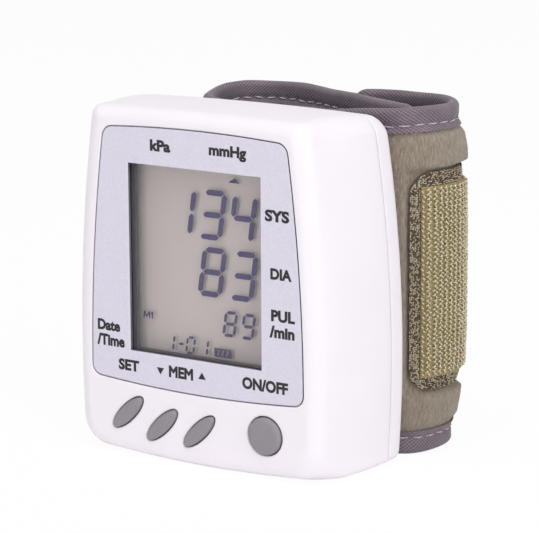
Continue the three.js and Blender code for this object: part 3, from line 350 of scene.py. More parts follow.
# Moulded ABS, spark-eroded tool: soft even sheen with a barely rough skin, a lilac-tinged white.
WHITE_ABS = Moulded("white_moulded_abs", "white_housing", "#f4eef5", "#efe8f0", 0.42, 1.53)
# Polycarbonate sheet with silver lacquer on its face: pale lilac-grey with a fine sparkle.
SILVER_FILM = Flaked("silver_lacquered_polycarbonate", "silver_panel", "#dcd7e6", "#d2cddc", 0.4, 1.58)
# Dark grey on the panel's cut edges and back: painted shade for the dark line of the gap round the panel and
# its window.
PANEL_EDGE_SHADE = Moulded("panel_edge_painted_shade", "dark_plastic", "#5f5b67", "#6a6672", 0.5, 1.58)
# Clear acrylic: almost nothing but a faint gloss.
CLEAR_ACRYLIC = Moulded(
    "clear_acrylic", "clear_lens", "#f2f3f6", "#eef0f4", 0.06, 1.49, 0.0, (("Alpha", 0.05),), depth_mm=0.0005
)
# Soda-lime glass of the display cell.
CELL_GLASS = Moulded(
    "display_float_glass", "display_glass", "#f0f1ee", "#ecedea", 0.05, 1.52, 0.0, (("Alpha", 0.04),),
    depth_mm=0.0005,
)
# Moulded black ABS with a matt tool.
BLACK_ABS = Moulded("black_moulded_abs", "dark_plastic", "#3d3744", "#35303c", 0.55, 1.53)
# Matt reflector foil behind the liquid crystal: warm grey, slightly uneven.
REFLECTOR = Moulded(
    "display_reflector_foil", "display_glass", "#c9bab8", "#c1b2b0", 0.55, grain_mm=0.5, drift_mm=22.0
)
# Liquid crystal switched dark: violet-grey.
DARK_CRYSTAL = Moulded(
    "dark_liquid_crystal", "display_glass", "#2b1756", "#34205f", 0.5,
    constants=(("Specular IOR Level", 0.2),),
)
# Screen-printed ink: near black, a little raised.
BLACK_INK = Moulded("screen_printed_ink", "dark_plastic", "#0d0d10", "#141317", 0.6, 1.5, grain_mm=0.3)
# Silicone rubber keys: dull, soft grey with a dusty grain.
GREY_SILICONE = Moulded(
    "grey_silicone_rubber", "grey_keys", "#938d94", "#8a848b", 0.62, 1.41, grain_mm=0.35, depth_mm=0.012
)
# Brushed loop plush on foam: dull khaki with upright fibres and no gloss but a sheen.
KHAKI_PLUSH = Pile(
    "khaki_brushed_plush", "plush", "#b4a593", "#776b5f", 0.95,
    constants=(("Sheen Weight", 0.25), ("Sheen Roughness", 0.5)),
)
# Nylon twill tape: grey-violet with fine slanting ribs, drawn coarser than the real 0.35 mm to show.
TWILL_TAPE = Woven(
    "grey_nylon_twill", "twill_binding", "#94858f", "#4e434f", 0.7, 1.53,
    constants=(("Sheen Weight", 0.2), ("Sheen Roughness", 0.4)), rib_mm=0.55,
)
# Nylon taffeta lining: darker, plain woven, threads drawn coarser than the real 0.2 mm to show.
NYLON_TAFFETA = Woven(
    "grey_nylon_taffeta", "nylon_lining", "#564e5a", "#3c3641", 0.6, 1.53, weave=Weave.PLAIN, rib_mm=0.8
)
# Polyester sewing thread: pale, with a slight gloss on its twist.
PALE_THREAD = Twisted("pale_polyester_thread", "twill_binding", "#cdc4ce", "#a79da9", 0.5, 1.57)
# Khaki and dark brown polyester threads of the stitched border.
KHAKI_THREAD = Twisted("khaki_polyester_thread", "patch_cloth", "#c8bb9e", "#a89a80", 0.55, 1.57)
BROWN_THREAD = Twisted("brown_polyester_thread", "patch_cloth", "#675c4e", "#4f473c", 0.55, 1.57)
# Woven patch under the threads: dark khaki canvas.
PATCH_CANVAS = Woven(
    "khaki_patch_canvas", "patch_cloth", "#786c5c", "#5a5044", 0.85, 1.5, weave=Weave.PLAIN, rib_mm=0.7
)
# Woven ground of the hook tape: olive-yellow, ribbed along the tape.
TAPE_GROUND = Woven(
    "olive_woven_hook_tape", "hook_tape", "#ad9c6e", "#8a7a50", 0.75, 1.53, weave=Weave.PLAIN, rib_mm=0.75
)
# Nylon monofilament hooks: pale, glossy, letting light through.
HOOK_NYLON = Twisted(
    "nylon_monofilament", "hook_tape", "#eee4c6", "#d9cdaa", 0.3, 1.53,
    constants=(("Transmission Weight", 0.2), ("Sheen Weight", 0.9), ("Sheen Roughness", 0.4)),
)
# Thermoplastic polyurethane film, welded: milky and soft.
WELDED_FILM = Moulded("polyurethane_film", "bladder_film", "#9a9aa0", "#8e8e96", 0.45, 1.5)
# Glass-epoxy laminate under green solder resist.
GREEN_LAMINATE = Moulded(
    "green_epoxy_laminate", "board_laminate", "#2e6b45", "#27603d", 0.42, 1.55, grain_mm=0.6
)
# Black epoxy and phenolic mouldings.
BLACK_EPOXY = Moulded("black_epoxy_moulding", "black_moulding", "#222226", "#2b2b30", 0.5, 1.55)
# Nickel-plated steel: bright with faint rolling lines.
NICKEL_STEEL = Rolled("nickel_plated_steel", "steel", "#c6c6c4", "#a9aaab", 0.3, metallic=1.0)
# Moulded acetal: pale ivory, waxy.
IVORY_ACETAL = Moulded("ivory_moulded_acetal", "pale_plastic", "#d9d6cf", "#cfccc4", 0.45, 1.48)
# Silicone tube: milky and slightly glossy.
MILKY_TUBE = Moulded("milky_silicone_tube", "clear_tube", "#dfe0dd", "#d2d3d0", 0.35, 1.41)
# Black rubber: dull with a fine bloom.
BLACK_RUBBER = Moulded("black_rubber", "black_rubber", "#242428", "#2f2f33", 0.75, 1.52)
# Shrink sleeve of a dry cell: dark blue lacquered film.
BLUE_SLEEVE = Rolled("blue_shrink_sleeve", "battery_sleeve", "#35506d", "#43607f", 0.35, 1.5, metallic=0.2)


class Sketch:
    """A mesh being drawn in millimetres, with a finish number on each face."""

    def __init__(self) -> None:
        """Starts with no points and no faces."""
        self.points: list[Array] = []
        self.cloth: list[Array] = []
        self.faces: list[tuple[int, ...]] = []
        self.numbers: list[int] = []

    def ring(self, points: Array, cloth: Array | None = None) -> list[int]:
        """Adds a ring of points.

        Args:
            points: places, one row each.
            cloth: a fabric's own coordinates there.

        Returns:
            The points' numbers.
        """
        start = len(self.points)
        self.points.extend(points)
        self.cloth.extend(points if cloth is None else cloth)
        return list(range(start, len(self.points)))

    def face(self, corners: Sequence[int], finish: int = 0) -> None:
        """Adds one face."""
        self.faces.append(tuple(corners))
        self.numbers.append(finish)

    def loft(self, rings: Sequence[list[int]], finish: int = 0, closed: bool = True) -> None:
        """Joins rings of equal counts with four-sided faces.

        Args:
            rings: point numbers, ring by ring.
            finish: the faces' finish number.
            closed: whether each ring closes on itself.
        """
        for first, second in zip(rings, rings[1:]):
            count = len(first)
            for i in range(count if closed else count - 1):
                j = (i + 1) % count
                self.face((first[i], first[j], second[j], second[i]), finish)

    def fill(self, outer: list[int], holes: Sequence[list[int]] = (), finish: int = 0) -> None:
        """Fills a flat outline round its holes.

        Args:
            outer: the outline's point numbers.
            holes: outlines of the holes.
            finish: the faces' finish number.
        """
        loops = [outer, *holes]
        order = [number for loop in loops for number in loop]
        outlines = [[Vector(self.points[number]) for number in loop] for loop in loops]
        for corners in tessellate_polygon(outlines):
            self.face([order[c] for c in corners], finish)

    def tube(self, rings: Sequence[list[int]], finish: int = 0) -> None:
        """Lofts rings and closes both ends.

        Args:
            rings: point numbers, ring by ring.
            finish: the faces' finish number.
        """
        self.loft(rings, finish)
        self.face(rings[0], finish)
        self.face(rings[-1], finish)

    def prism(self, outline: Sequence[Pair], front: float, back: float) -> None:
        """Adds a flat form with an outline of x and z points between two depths."""
        self.tube([self.ring(np.array([[x, y, z] for x, z in outline])) for y in (front, back)])

    def make(self, name: str, finishes: Sequence[Finish], sharp_deg: float = CRISP_DEG) -> Piece:
        """Turns the sketch into a piece in the frame.

        Args:
            name: the piece's name.
            finishes: what the finish numbers stand for.
            sharp_deg: edges that turn more stay crisp.

        Returns:
            The new object, dressed and smooth.
        """
        mesh = bpy.data.meshes.new(name)
        places = (np.array(self.points) + FRONT_TO_FRAME) * MM
        mesh.from_pydata(places.tolist(), [], self.faces)
        for finish in finishes:
            mesh.materials.append(finish.material())
        mesh.polygons.foreach_set("material_index", self.numbers)
        own = mesh.attributes.new(CLOTH_MAP, "FLOAT_VECTOR", "POINT")
        own.data.foreach_set("vector", np.array(self.cloth, np.float32).ravel())
        made = bmesh.new()
        made.from_mesh(mesh)
        bmesh.ops.recalc_face_normals(made, faces=made.faces)
        made.to_mesh(mesh)
        made.free()
        smooth(mesh, sharp_deg)
        piece = bpy.data.objects.new(name, mesh)
        bpy.context.scene.collection.objects.link(piece)
        return piece


def smooth(mesh: bpy.types.Mesh, sharp_deg: float) -> None:
    """Shades a mesh smooth, crisp where it turns more than an angle."""
    mesh.shade_smooth()
    mesh.set_sharp_from_angle(angle=radians(sharp_deg))


@dataclass(frozen=True)
class Fold:
    """A soft fold from the housing to a flap, between two points in plan."""

    flap: Body
    start: Pair
    end: Pair

    def carry(self, piece: Piece) -> None:
        """Bakes a piece's place into its mesh; the fold's two points are worked out but not used."""
        start, end = (tuple((np.array([*at, 0.0]) + FRONT_TO_FRAME) * MM) for at in (self.start, self.end))
        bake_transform(piece)
        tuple(start)
        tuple(end)


Carrier = Body | Fold


def keep(piece: Piece, carrier: Carrier, finish: Finish, stands_for: Sequence[str] = ()) -> Piece:
    """Hands a finished piece to its carrier and reports it.

    Args:
        piece: the piece, in place.
        carrier: the body that it rides on, or a fold, which only bakes its place into its mesh.
        finish: not used.
        stands_for: construction nodes that it replaces.

    Returns:
        The same piece.
    """
    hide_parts(*stands_for)
    carrier.carry(piece)
    LOG.info("%s is in place with %d faces", piece.name, len(piece.data.polygons))
    return piece


def crossing(a: Array, ra: float, b: Array, rb: float, side: int) -> Array:
    """Finds where two circles cross.

    Args:
        a: the first centre.
        ra: its radius.
        b: the second centre.
        rb: its radius.
        side: 1 for the crossing left of the way from a to b, -1 for the right.

    Returns:
        The crossing point.
    """
    way = b - a
    distance = float(np.hypot(*way))
    along = (ra * ra - rb * rb + distance * distance) / (2 * distance)
    off = sqrt(ra * ra - along * along) * side
    return a + (along * way + off * np.array([-way[1], way[0]])) / distance


def arc(centre: Array, radius: float, start: float, end: float, steps: int) -> Array:
    """Points on a circular arc between two angles, without its last one."""
    turn = start + (end - start) * np.arange(steps) / steps
    return centre + radius * np.stack([np.cos(turn), np.sin(turn)], 1)


def quarter(steps: int) -> list[Pair]:
    """How far in and down a quarter round is, from the flat to the wall."""
    turns = [i / steps * pi / 2 for i in range(steps + 1)]
    return [(1 - sin(t), 1 - cos(t)) for t in turns]


def rounded(
    ring: Callable[[float, float], Array], y: float, edge: float, steps: int, clear: float = 0.0
) -> list[Array]:
    """Rings of a rounded edge from the flat at a depth to its wall, behind it or before it if negative."""
    return [ring(y + edge * down, clear + abs(edge) * inward) for inward, down in quarter(steps)]


@dataclass(frozen=True)
class BowedFrame:
    """A bowed rectangle in the front view: four arcs joined by round corners."""

    half_width: float
    widest_z: float
    side_radius: float
    top: float
    top_radius: float
    bottom: float
    bottom_radius: float
    top_corner: float
    bottom_corner: float
    least_corner: float = 0.8

    def outline(self, inset: float = 0.0) -> Array:
        """Points from the bottom's middle up the right side and round.

        Args:
            inset: how far inside the frame they run.

        Returns:
            Rows of x and z.
        """
        top_corner = max(self.top_corner - inset, self.least_corner)
        bottom_corner = max(self.bottom_corner - inset, self.least_corner)
        side = np.array([self.half_width - self.side_radius, self.widest_z])
        roof = np.array([0.0, self.top - self.top_radius])
        base = np.array([0.0, self.bottom + self.bottom_radius])
        side_r, roof_r, base_r = (
            r - inset for r in (self.side_radius, self.top_radius, self.bottom_radius)
        )
        high = crossing(side, side_r - top_corner, roof, roof_r - top_corner, 1)
        low = crossing(side, side_r - bottom_corner, base, base_r - bottom_corner, -1)

        def angle(centre: Array, point: Array) -> float:
            """Angle of a point seen from a centre."""
            return atan2(point[1] - centre[1], point[0] - centre[0])

        right = np.vstack([
            arc(base, base_r, -pi / 2, angle(base, low), 14),
            arc(low, bottom_corner, angle(base, low), angle(side, low), 14),
            arc(side, side_r, angle(side, low), angle(side, high), 30),
            arc(high, top_corner, angle(side, high), angle(roof, high), 14),
            arc(roof, roof_r, angle(roof, high), pi / 2, 14),
            [[0.0, roof[1] + roof_r]],
        ])
        return np.concatenate([right, right[-2:0:-1] * (-1, 1)])

    def ring(self, y: float, inset: float = 0.0) -> Array:
        """The outline as points at a depth."""
        flat = self.outline(inset)
        return np.stack([flat[:, 0], np.full(len(flat), y), flat[:, 1]], 1)


@dataclass(frozen=True)
class KeySpot:
    """A key's name, place and half sizes on the front face."""

    name: str
    body: Body
    x: float
    z: float
    half_length: float
    half_width: float
    tilt_deg: float = 43.5
    points: int = 72

    def ring(self, y: float, grow: float = 0.0, share: float = 1.0) -> Array:
        """The key's oval outline at a depth.

        Args:
            y: the depth.
            grow: how far outside the key it runs.
            share: scale about the key's middle.

        Returns:
            The outline's points.
        """
        turn = np.arange(self.points) / self.points * 2 * pi
        along = (self.half_length + grow) * share * np.cos(turn)
        across = (self.half_width + grow) * share * np.sin(turn)
        c, s = cos(radians(self.tilt_deg)), sin(radians(self.tilt_deg))
        return np.stack(
            [self.x + along * c - across * s, np.full(self.points, y), self.z + along * s + across * c], 1
        )


KEYS = (
    KeySpot("set", Body.SET_KEY, -17.0, 9.05, 4.9, 1.55),
    KeySpot("memory_down", Body.MEMORY_DOWN_KEY, -8.4, 7.55, 4.9, 1.55),
    KeySpot("memory_up", Body.MEMORY_UP_KEY, 0.8, 7.55, 4.9, 1.55),
    KeySpot("power", Body.POWER_KEY, 16.8, 9.0, 3.85, 3.85),
)


@dataclass(frozen=True)
class DisplayPlace:
    """Where the display's window is, and its size."""

    centre_z: float = 41.85
    half_width: float = 16.05
    half_height: float = 19.5

    def ring(self, y: float, margin: float = 0.0) -> Array:
        """The window's outline at a depth, grown by a margin."""
        wide, tall = self.half_width + margin, self.half_height + margin
        return np.array([[wide * a, y, self.centre_z + tall * b] for a, b in CORNERS])


@dataclass(frozen=True)
class PanelForm:
    """The face panel's outline and thickness."""

    outline: BowedFrame = BowedFrame(25.75, 16.85, 357.0, 69.1, 294.0, 15.2, 278.0, 2.4, 2.2)
    thickness: float = 0.8
    clearance: float = 0.24
    bed_gap: float = 0.3

    def ring(self, y: float, grow: float = 0.0) -> Array:
        """The panel's outline at a depth, grown outwards."""
        return self.outline.ring(y, -grow)


@dataclass(frozen=True)
class HousingForm:
    """The housing's outside: sides that flare to the back, a crowned top, round edges."""

    depth: float = HOUSING_DEPTH
    front_half_width: float = 29.1
    back_half_width: float = 33.7
    flare_depth: float = 22.0
    widest_z: float = 21.9
    crown_z: float = 73.0
    crown_y: float = 8.0
    fall: float = 1.75
    edge: float = 2.5
    wall: float = 2.0
    front_wall: float = 2.2
    back_wall: float = 2.0
    top_radius: float = 900.0
    bottom: float = -0.15
    side_radius: Pair = (330.0, 281.0)  # at the front face and from squared_y on, as below
    bottom_radius: Pair = (210.0, 1000.0)
    top_corner: Pair = (2.4, 5.0)
    bottom_corner: Pair = (6.5, 2.3)
    squared_y: float = 9.0

    def half_width(self, y: Array) -> Array:
        """Half the housing's width at a depth, flaring to the back."""
        flare = 1 - np.minimum(y / self.flare_depth, 1.0)
        return self.back_half_width - (self.back_half_width - self.front_half_width) * flare**2

    def frame_at(self, y: float) -> BowedFrame:
        """The housing's outline at a depth.

        Args:
            y: distance behind the front face.

        Returns:
            Its bowed frame there.
        """
        fall = (y - self.crown_y) / (self.depth - self.crown_y)
        half = float(self.half_width(y))
        top = self.crown_z - self.fall * fall**2
        squared = float(ease(y / self.squared_y))
        pairs = (self.side_radius, self.bottom_radius, self.top_corner, self.bottom_corner)
        side, belly, high, low = (a + (b - a) * squared for a, b in pairs)
        return BowedFrame(half, self.widest_z, side, top, self.top_radius, self.bottom, belly, high, low)

    def ring(self, y: float, inset: float = 0.0) -> Array:
        """The housing's outline at a depth, cut flat where it stands."""
        return np.maximum(self.frame_at(y).ring(y, inset), (-np.inf, -np.inf, 0.0))

    def skin_x(self, y: Array, z: Array) -> Array:
        """Half-width of the housing at depths and heights between its corners."""
        radius = self.side_radius[1]
        return self.half_width(y) - radius + np.sqrt(radius**2 - (z - self.widest_z) ** 2)


@dataclass
class Housing:
    """The white case: front shell, rear shell and battery door."""

    form: HousingForm = HousingForm()
    panel: PanelForm = PanelForm()
    window: DisplayPlace = DisplayPlace()
    parting_y: float = 21.0
    gap: float = 0.3
    parting_edge: float = 0.3
    recess_edge: float = 0.25
    hole_edge: float = 0.35
    hole_clearance: float = 0.25
    support: float = 0.15  # flat border that keeps shading flat next to a rounded edge
    window_margin: float = 1.3
    screw_spots: tuple[Pair, ...] = ((23.4, 66.4), (26.2, 8.0))
    sink_radius: float = 2.4
    sink_depth: float = 2.4
    boss_radius: float = 2.8
    door_y: Pair = (9.4, 21.7)
    door_z: Pair = (12.0, 62.6)
    door_edge: float = 0.35
    door_cut_x: Pair = (-43.7, -20.0)  # from outside the wall to inside it
    border_shares: tuple[float, ...] = (0.0, 0.05, 0.2, 0.5, 1.0)  # rows on the door's rounded edge
    grooves: int = 5
    groove_pitch: float = 2.0
    groove_width: float = 1.3
    groove_depth: float = 0.55
    groove_length: float = 8.0

    def rim(self, ring: Callable[[float, float], Array], clearance: float, edge: float) -> list[Array]:
        """Rings of a hole's rounded mouth inwards, from its outline."""
        return [ring(0.0, clearance + edge + self.support), *rounded(ring, 0.0, edge, 5, clearance)]

    def front_shell(self) -> None:
        """Builds the front shell: flat face with the panel's bed, key holes and window."""
        sketch, form = Sketch(), self.form
        parting = self.parting_y - self.gap / 2
        bed_y = self.panel.thickness + self.panel.bed_gap
        skin = [form.ring(0.0, form.edge + self.support)]
        skin += rounded(form.ring, 0.0, form.edge, 9)
        skin += [form.ring(y) for y in np.linspace(form.edge, parting - self.parting_edge, 18)[1:]]
        skin += rounded(form.ring, parting, -self.parting_edge, 4)[-2::-1]
        skin += [form.ring(parting, form.wall), form.ring(form.front_wall, form.wall)]
        shell = [sketch.ring(points) for points in skin]
        bed = self.rim(self.panel.ring, self.panel.clearance, self.recess_edge)
        bed.append(self.panel.ring(bed_y, self.panel.clearance))
        bed_rings = [sketch.ring(points) for points in bed]
        opening = [sketch.ring(self.window.ring(y, self.window_margin)) for y in (bed_y, form.front_wall)]
        holes = []
        for key in KEYS:
            rings = self.rim(key.ring, self.hole_clearance, self.hole_edge)
            rings.append(key.ring(form.front_wall, self.hole_clearance))
            holes.append([sketch.ring(points) for points in rings])
        for rings in [shell, bed_rings, opening, *holes]:
            sketch.loft(rings)
        sketch.fill(shell[0], [bed_rings[0], *[hole[0] for hole in holes]])
        sketch.fill(bed_rings[-1], [opening[0]])
        sketch.fill(shell[-1], [opening[1], *[hole[-1] for hole in holes]])
        piece = sketch.make("front_shell_moulding", [WHITE_ABS])
        self.cut_door(piece)
        keep(piece, Body.HOUSING, WHITE_ABS, ["front_shell"])

    def rear_shell(self) -> None:
        """Builds the rear shell with its four screw sinks."""
        sketch, form = Sketch(), self.form
        parting = self.parting_y + self.gap / 2
        inner_y = form.depth - form.back_wall
        skin = [form.ring(inner_y, form.wall), form.ring(parting, form.wall)]
        skin += rounded(form.ring, parting, self.parting_edge, 4)[1:]
        wall_end = form.depth - form.edge
        skin += [form.ring(y) for y in np.linspace(parting + self.parting_edge, wall_end, 5)[1:]]
        skin += rounded(form.ring, form.depth, -form.edge, 9)[-2::-1]
        skin.append(form.ring(form.depth, form.edge + self.support))
        shell = [sketch.ring(points) for points in skin]
        sketch.loft(shell)
        spots = [(side * x, z) for x, z in self.screw_spots for side in (-1, 1)]
        sinks, bosses = [], []
        for x, z in spots:
            spot = KeySpot("screw", Body.HOUSING, x, z, self.sink_radius, self.sink_radius, 0.0, 40)
            mouth = [spot.ring(form.depth, self.recess_edge + self.support)]
            mouth += rounded(spot.ring, form.depth, -self.recess_edge, 4)
            mouth.append(spot.ring(form.depth - self.sink_depth))
            rings = [sketch.ring(points) for points in mouth]
            boss_grow = self.boss_radius - self.sink_radius
            boss_y = form.depth - self.sink_depth - self.gap
            boss = [sketch.ring(spot.ring(y, boss_grow)) for y in (inner_y, boss_y)]
            for column in (rings, boss):
                sketch.loft(column)
                sketch.fill(column[-1])
            sinks.append(rings[0])
            bosses.append(boss[0])
        sketch.fill(shell[-1], sinks)
        sketch.fill(shell[0], bosses)
        piece = sketch.make("rear_shell_moulding", [WHITE_ABS])
        self.cut_door(piece)
        keep(piece, Body.HOUSING, WHITE_ABS, ["rear_shell"])

    def cut_door(self, piece: Piece) -> None:
        """Cuts the battery door's opening out of the left wall.

        Args:
            piece: a shell, still without a body.
        """
        sketch = Sketch()
        (y0, y1), (z0, z1) = self.door_y, self.door_z
        sides = [
            sketch.ring(np.array([[x, y0, z0], [x, y1, z0], [x, y1, z1], [x, y0, z1]]))
            for x in self.door_cut_x
        ]
        sketch.tube(sides)
        tool = sketch.make("door_cutter", [WHITE_ABS])
        cut = piece.modifiers.new("door", "BOOLEAN")
        cut.object, cut.operation, cut.solver = tool, "DIFFERENCE", "EXACT"
        view = bpy.context.evaluated_depsgraph_get()
        old = piece.data
        piece.data = bpy.data.meshes.new_from_object(piece.evaluated_get(view))
        piece.modifiers.clear()
        bpy.data.meshes.remove(old)
        piece.data.name = piece.name
        smooth(piece.data, CRISP_DEG)
        bpy.data.objects.remove(tool)

    def battery_door(self) -> None:
        """Builds the sliding door: a piece of the left wall with finger grooves."""
        (y0, y1), (z0, z1) = ([a + self.gap, b - self.gap] for a, b in (self.door_y, self.door_z))
        edge = self.door_edge
        border = np.array([edge * share for share in self.border_shares])
        span = self.grooves * self.groove_pitch
        middle = (z0 + z1) / 2
        low, high = middle - span / 2, middle + span / 2
        ys = np.concatenate([y0 + border, np.linspace(y0 + edge, y1 - edge, 34)[1:-1], y1 - border[::-1]])
        zs = np.hstack([
            z0 + border,
            np.linspace(z0 + edge, low, 18)[1:],
            np.linspace(low, high, 81)[1:],
            np.linspace(high, z1 - edge, 18)[1:-1],
            z1 - border[::-1],
        ])
        grid_y, grid_z = np.meshgrid(ys, zs, indexing="ij")
        near_edge = np.minimum.reduce([grid_y - y0, y1 - grid_y, grid_z - z0, z1 - grid_z])
        short = np.clip(edge - near_edge, 0, edge)
        rounding = edge - np.sqrt(edge**2 - short**2)
        skin = self.form.skin_x(grid_y, grid_z)
        sketch = Sketch()
        surface = -(skin - rounding - self.groove_cut(grid_y - (y0 + y1) / 2, grid_z - middle))
        rows = [sketch.ring(np.stack([surface[i], grid_y[i], grid_z[i]], 1)) for i in range(len(ys))]
        sketch.loft(rows, closed=False)
        rim = [*rows[0], *(row[-1] for row in rows[1:]), *rows[-1][-2::-1]]
        rim += [row[0] for row in rows[-2:0:-1]]
        inner = np.array([sketch.points[number] for number in rim])
        inner[:, 0] = -self.form.skin_x(inner[:, 1], inner[:, 2]) + self.form.wall
        back = sketch.ring(inner)
        sketch.loft([rim, back])
        sketch.fill(back)
        piece = sketch.make("battery_door_moulding", [WHITE_ABS])
        keep(piece, Body.DOOR, WHITE_ABS, ["battery_door"])

    def groove_cut(self, y: Array, z: Array) -> Array:
        """Depth of the finger grooves.

        Args:
            y: distance from the door's middle along them.
            z: distance across them.

        Returns:
            The depth at each place.
        """
        count = np.clip(np.round(z / self.groove_pitch), -(self.grooves // 2), self.grooves // 2)
        across = np.abs(z - count * self.groove_pitch) / (self.groove_width / 2)
        along = np.clip((self.groove_length / 2 - np.abs(y)) / self.groove_depth, 0, 1)
        return self.groove_depth * np.sqrt(np.clip(1 - across**2, 0, 1)) * np.sin(along * pi / 2)


@dataclass(frozen=True)
class Legend:
    """A printed word, its middle, its width and its height."""

    text: str
    x: float
    z: float
    width: float
    height: float


LEGENDS = (
    Legend("kPa", -7.92, 65.47, 5.0, 2.4),
    Legend("mmHg", 8.38, 65.5, 8.9, 2.95),
    Legend("SYS", 19.97, 54.02, 5.7, 2.4),
    Legend("DIA", 20.85, 42.43, 5.0, 2.3),
    Legend("PUL", 21.27, 34.02, 5.6, 2.4),
    Legend("/min", 21.02, 30.75, 5.9, 2.5),
    Legend("Date", -21.47, 26.95, 5.7, 2.35),
    Legend("/Time", -21.02, 23.83, 7.0, 2.5),
    Legend("SET", -16.53, 19.14, 5.2, 2.4),
    Legend("MEM", -3.47, 19.25, 6.0, 2.45),
    Legend("ON/OFF", 16.94, 19.4, 10.9, 2.5),
)


@dataclass
class FacePanel:
    """The silver panel round the display, with its printed legends."""

    form: PanelForm = PanelForm()
    window: DisplayPlace = DisplayPlace()
    bevel: float = 0.14
    ink_height: float = 0.03
    stroke_weight: float = 0.048  # how far the letters' strokes are fattened, in letter heights
    arrows: tuple[tuple[float, float, int], ...] = ((-8.58, 18.96, -1), (1.71, 19.34, 1))
    arrow_half_width: float = 0.9
    arrow_half_height: float = 0.72

    def plate(self) -> None:
        """Builds the plate with its window; its cut edges and back are dark grey, painted shade of the gaps
        round it.
        """
        sketch = Sketch()
        depths = (0.0, self.bevel, self.form.thickness)
        outer, inner = (
            [sketch.ring(ring(y, grow)) for y, grow in zip(depths, (edge, 0.0, 0.0))]
            for ring, edge in ((self.form.ring, -self.bevel), (self.window.ring, self.bevel))
        )
        sketch.fill(outer[0], [inner[0]])
        sketch.loft(outer[:2])
        sketch.loft(inner[:2])
        for rings in (outer[1:], inner[1:]):
            # The cut edges and the back take the dark grey: painted shade of the gaps round the panel and
            # its window.
            sketch.loft(rings, finish=1)
        sketch.fill(outer[-1], [inner[-1]], finish=1)
        piece = sketch.make("face_panel_plate", [SILVER_FILM, PANEL_EDGE_SHADE], sharp_deg=30.0)
        keep(piece, Body.HOUSING, SILVER_FILM, ["face_panel"])

    def print(self) -> None:
        """Prints the legends and the two arrows on the panel."""
        sketch = Sketch()
        for legend in LEGENDS:
            self.word(sketch, legend)
        for x, z, up in self.arrows:
            half, tall = self.arrow_half_width, self.arrow_half_height * up
            corners = [(x - half, z - tall), (x + half, z - tall), (x, z + tall)]
            sketch.prism(corners, -self.ink_height, 0.0)
        keep(sketch.make("panel_print", [BLACK_INK], sharp_deg=30.0), Body.HOUSING, BLACK_INK)

    def word(self, sketch: Sketch, legend: Legend) -> None:
        """Adds one word to the print.

        Args:
            sketch: the print so far.
            legend: the word and its place.
        """
        letters = bpy.data.curves.new("letters", "FONT")
        letters.body = legend.text
        letters.bevel_depth = self.stroke_weight
        letters.bevel_resolution = 0
        letters.extrude = self.ink_height / 2
        letters.resolution_u = 4
        holder = bpy.data.objects.new("letters", letters)
        bpy.context.scene.collection.objects.link(holder)
        view = bpy.context.evaluated_depsgraph_get()
        mesh = bpy.data.meshes.new_from_object(holder.evaluated_get(view))
        flat = np.array([v.co for v in mesh.vertices])
        low, high = flat.min(0), flat.max(0)
        sizes = (legend.width, legend.height, self.ink_height)
        across, up, deep = ((flat - (low + high) / 2) * sizes / (high - low)).T
        places = [legend.x + across, -self.ink_height / 2 - deep, legend.z + up]
        numbers = sketch.ring(np.stack(places, 1))
        for polygon in mesh.polygons:
            sketch.face([numbers[i] for i in polygon.vertices])
        bpy.data.objects.remove(holder)
        bpy.data.meshes.remove(mesh)
        bpy.data.curves.remove(letters)


SEGMENTS = {"0": "abcdef", "1": "bc", "3": "abcdg", "4": "bcfg", "8": "abcdefg", "9": "abcdfg", "-": "g"}
# Where a segment starts and ends, in shares of its numeral's width and height.
SEGMENT_ENDS = {
    "a": ((0, 1), (1, 1)), "b": ((1, 1), (1, 0.5)), "c": ((1, 0.5), (1, 0)), "d": ((0, 0), (1, 0)),
    "e": ((0, 0.5), (0, 0)), "f": ((0, 1), (0, 0.5)), "g": ((0, 0.5), (1, 0.5)),
}


@dataclass(frozen=True)
class Numeral:
    """A seven-segment numeral: its figure, lower left place and size."""

    figure: str
    x: float
    z: float
    width: float
    height: float
    stroke: float


def numerals(text: str, x: float, z: float, pitch: float, *size: float) -> list[Numeral]:
    """Sets a row of numerals at a pitch, each with a width, height and stroke."""
    return [Numeral(figure, x + i * pitch, z, *size) for i, figure in enumerate(text)]


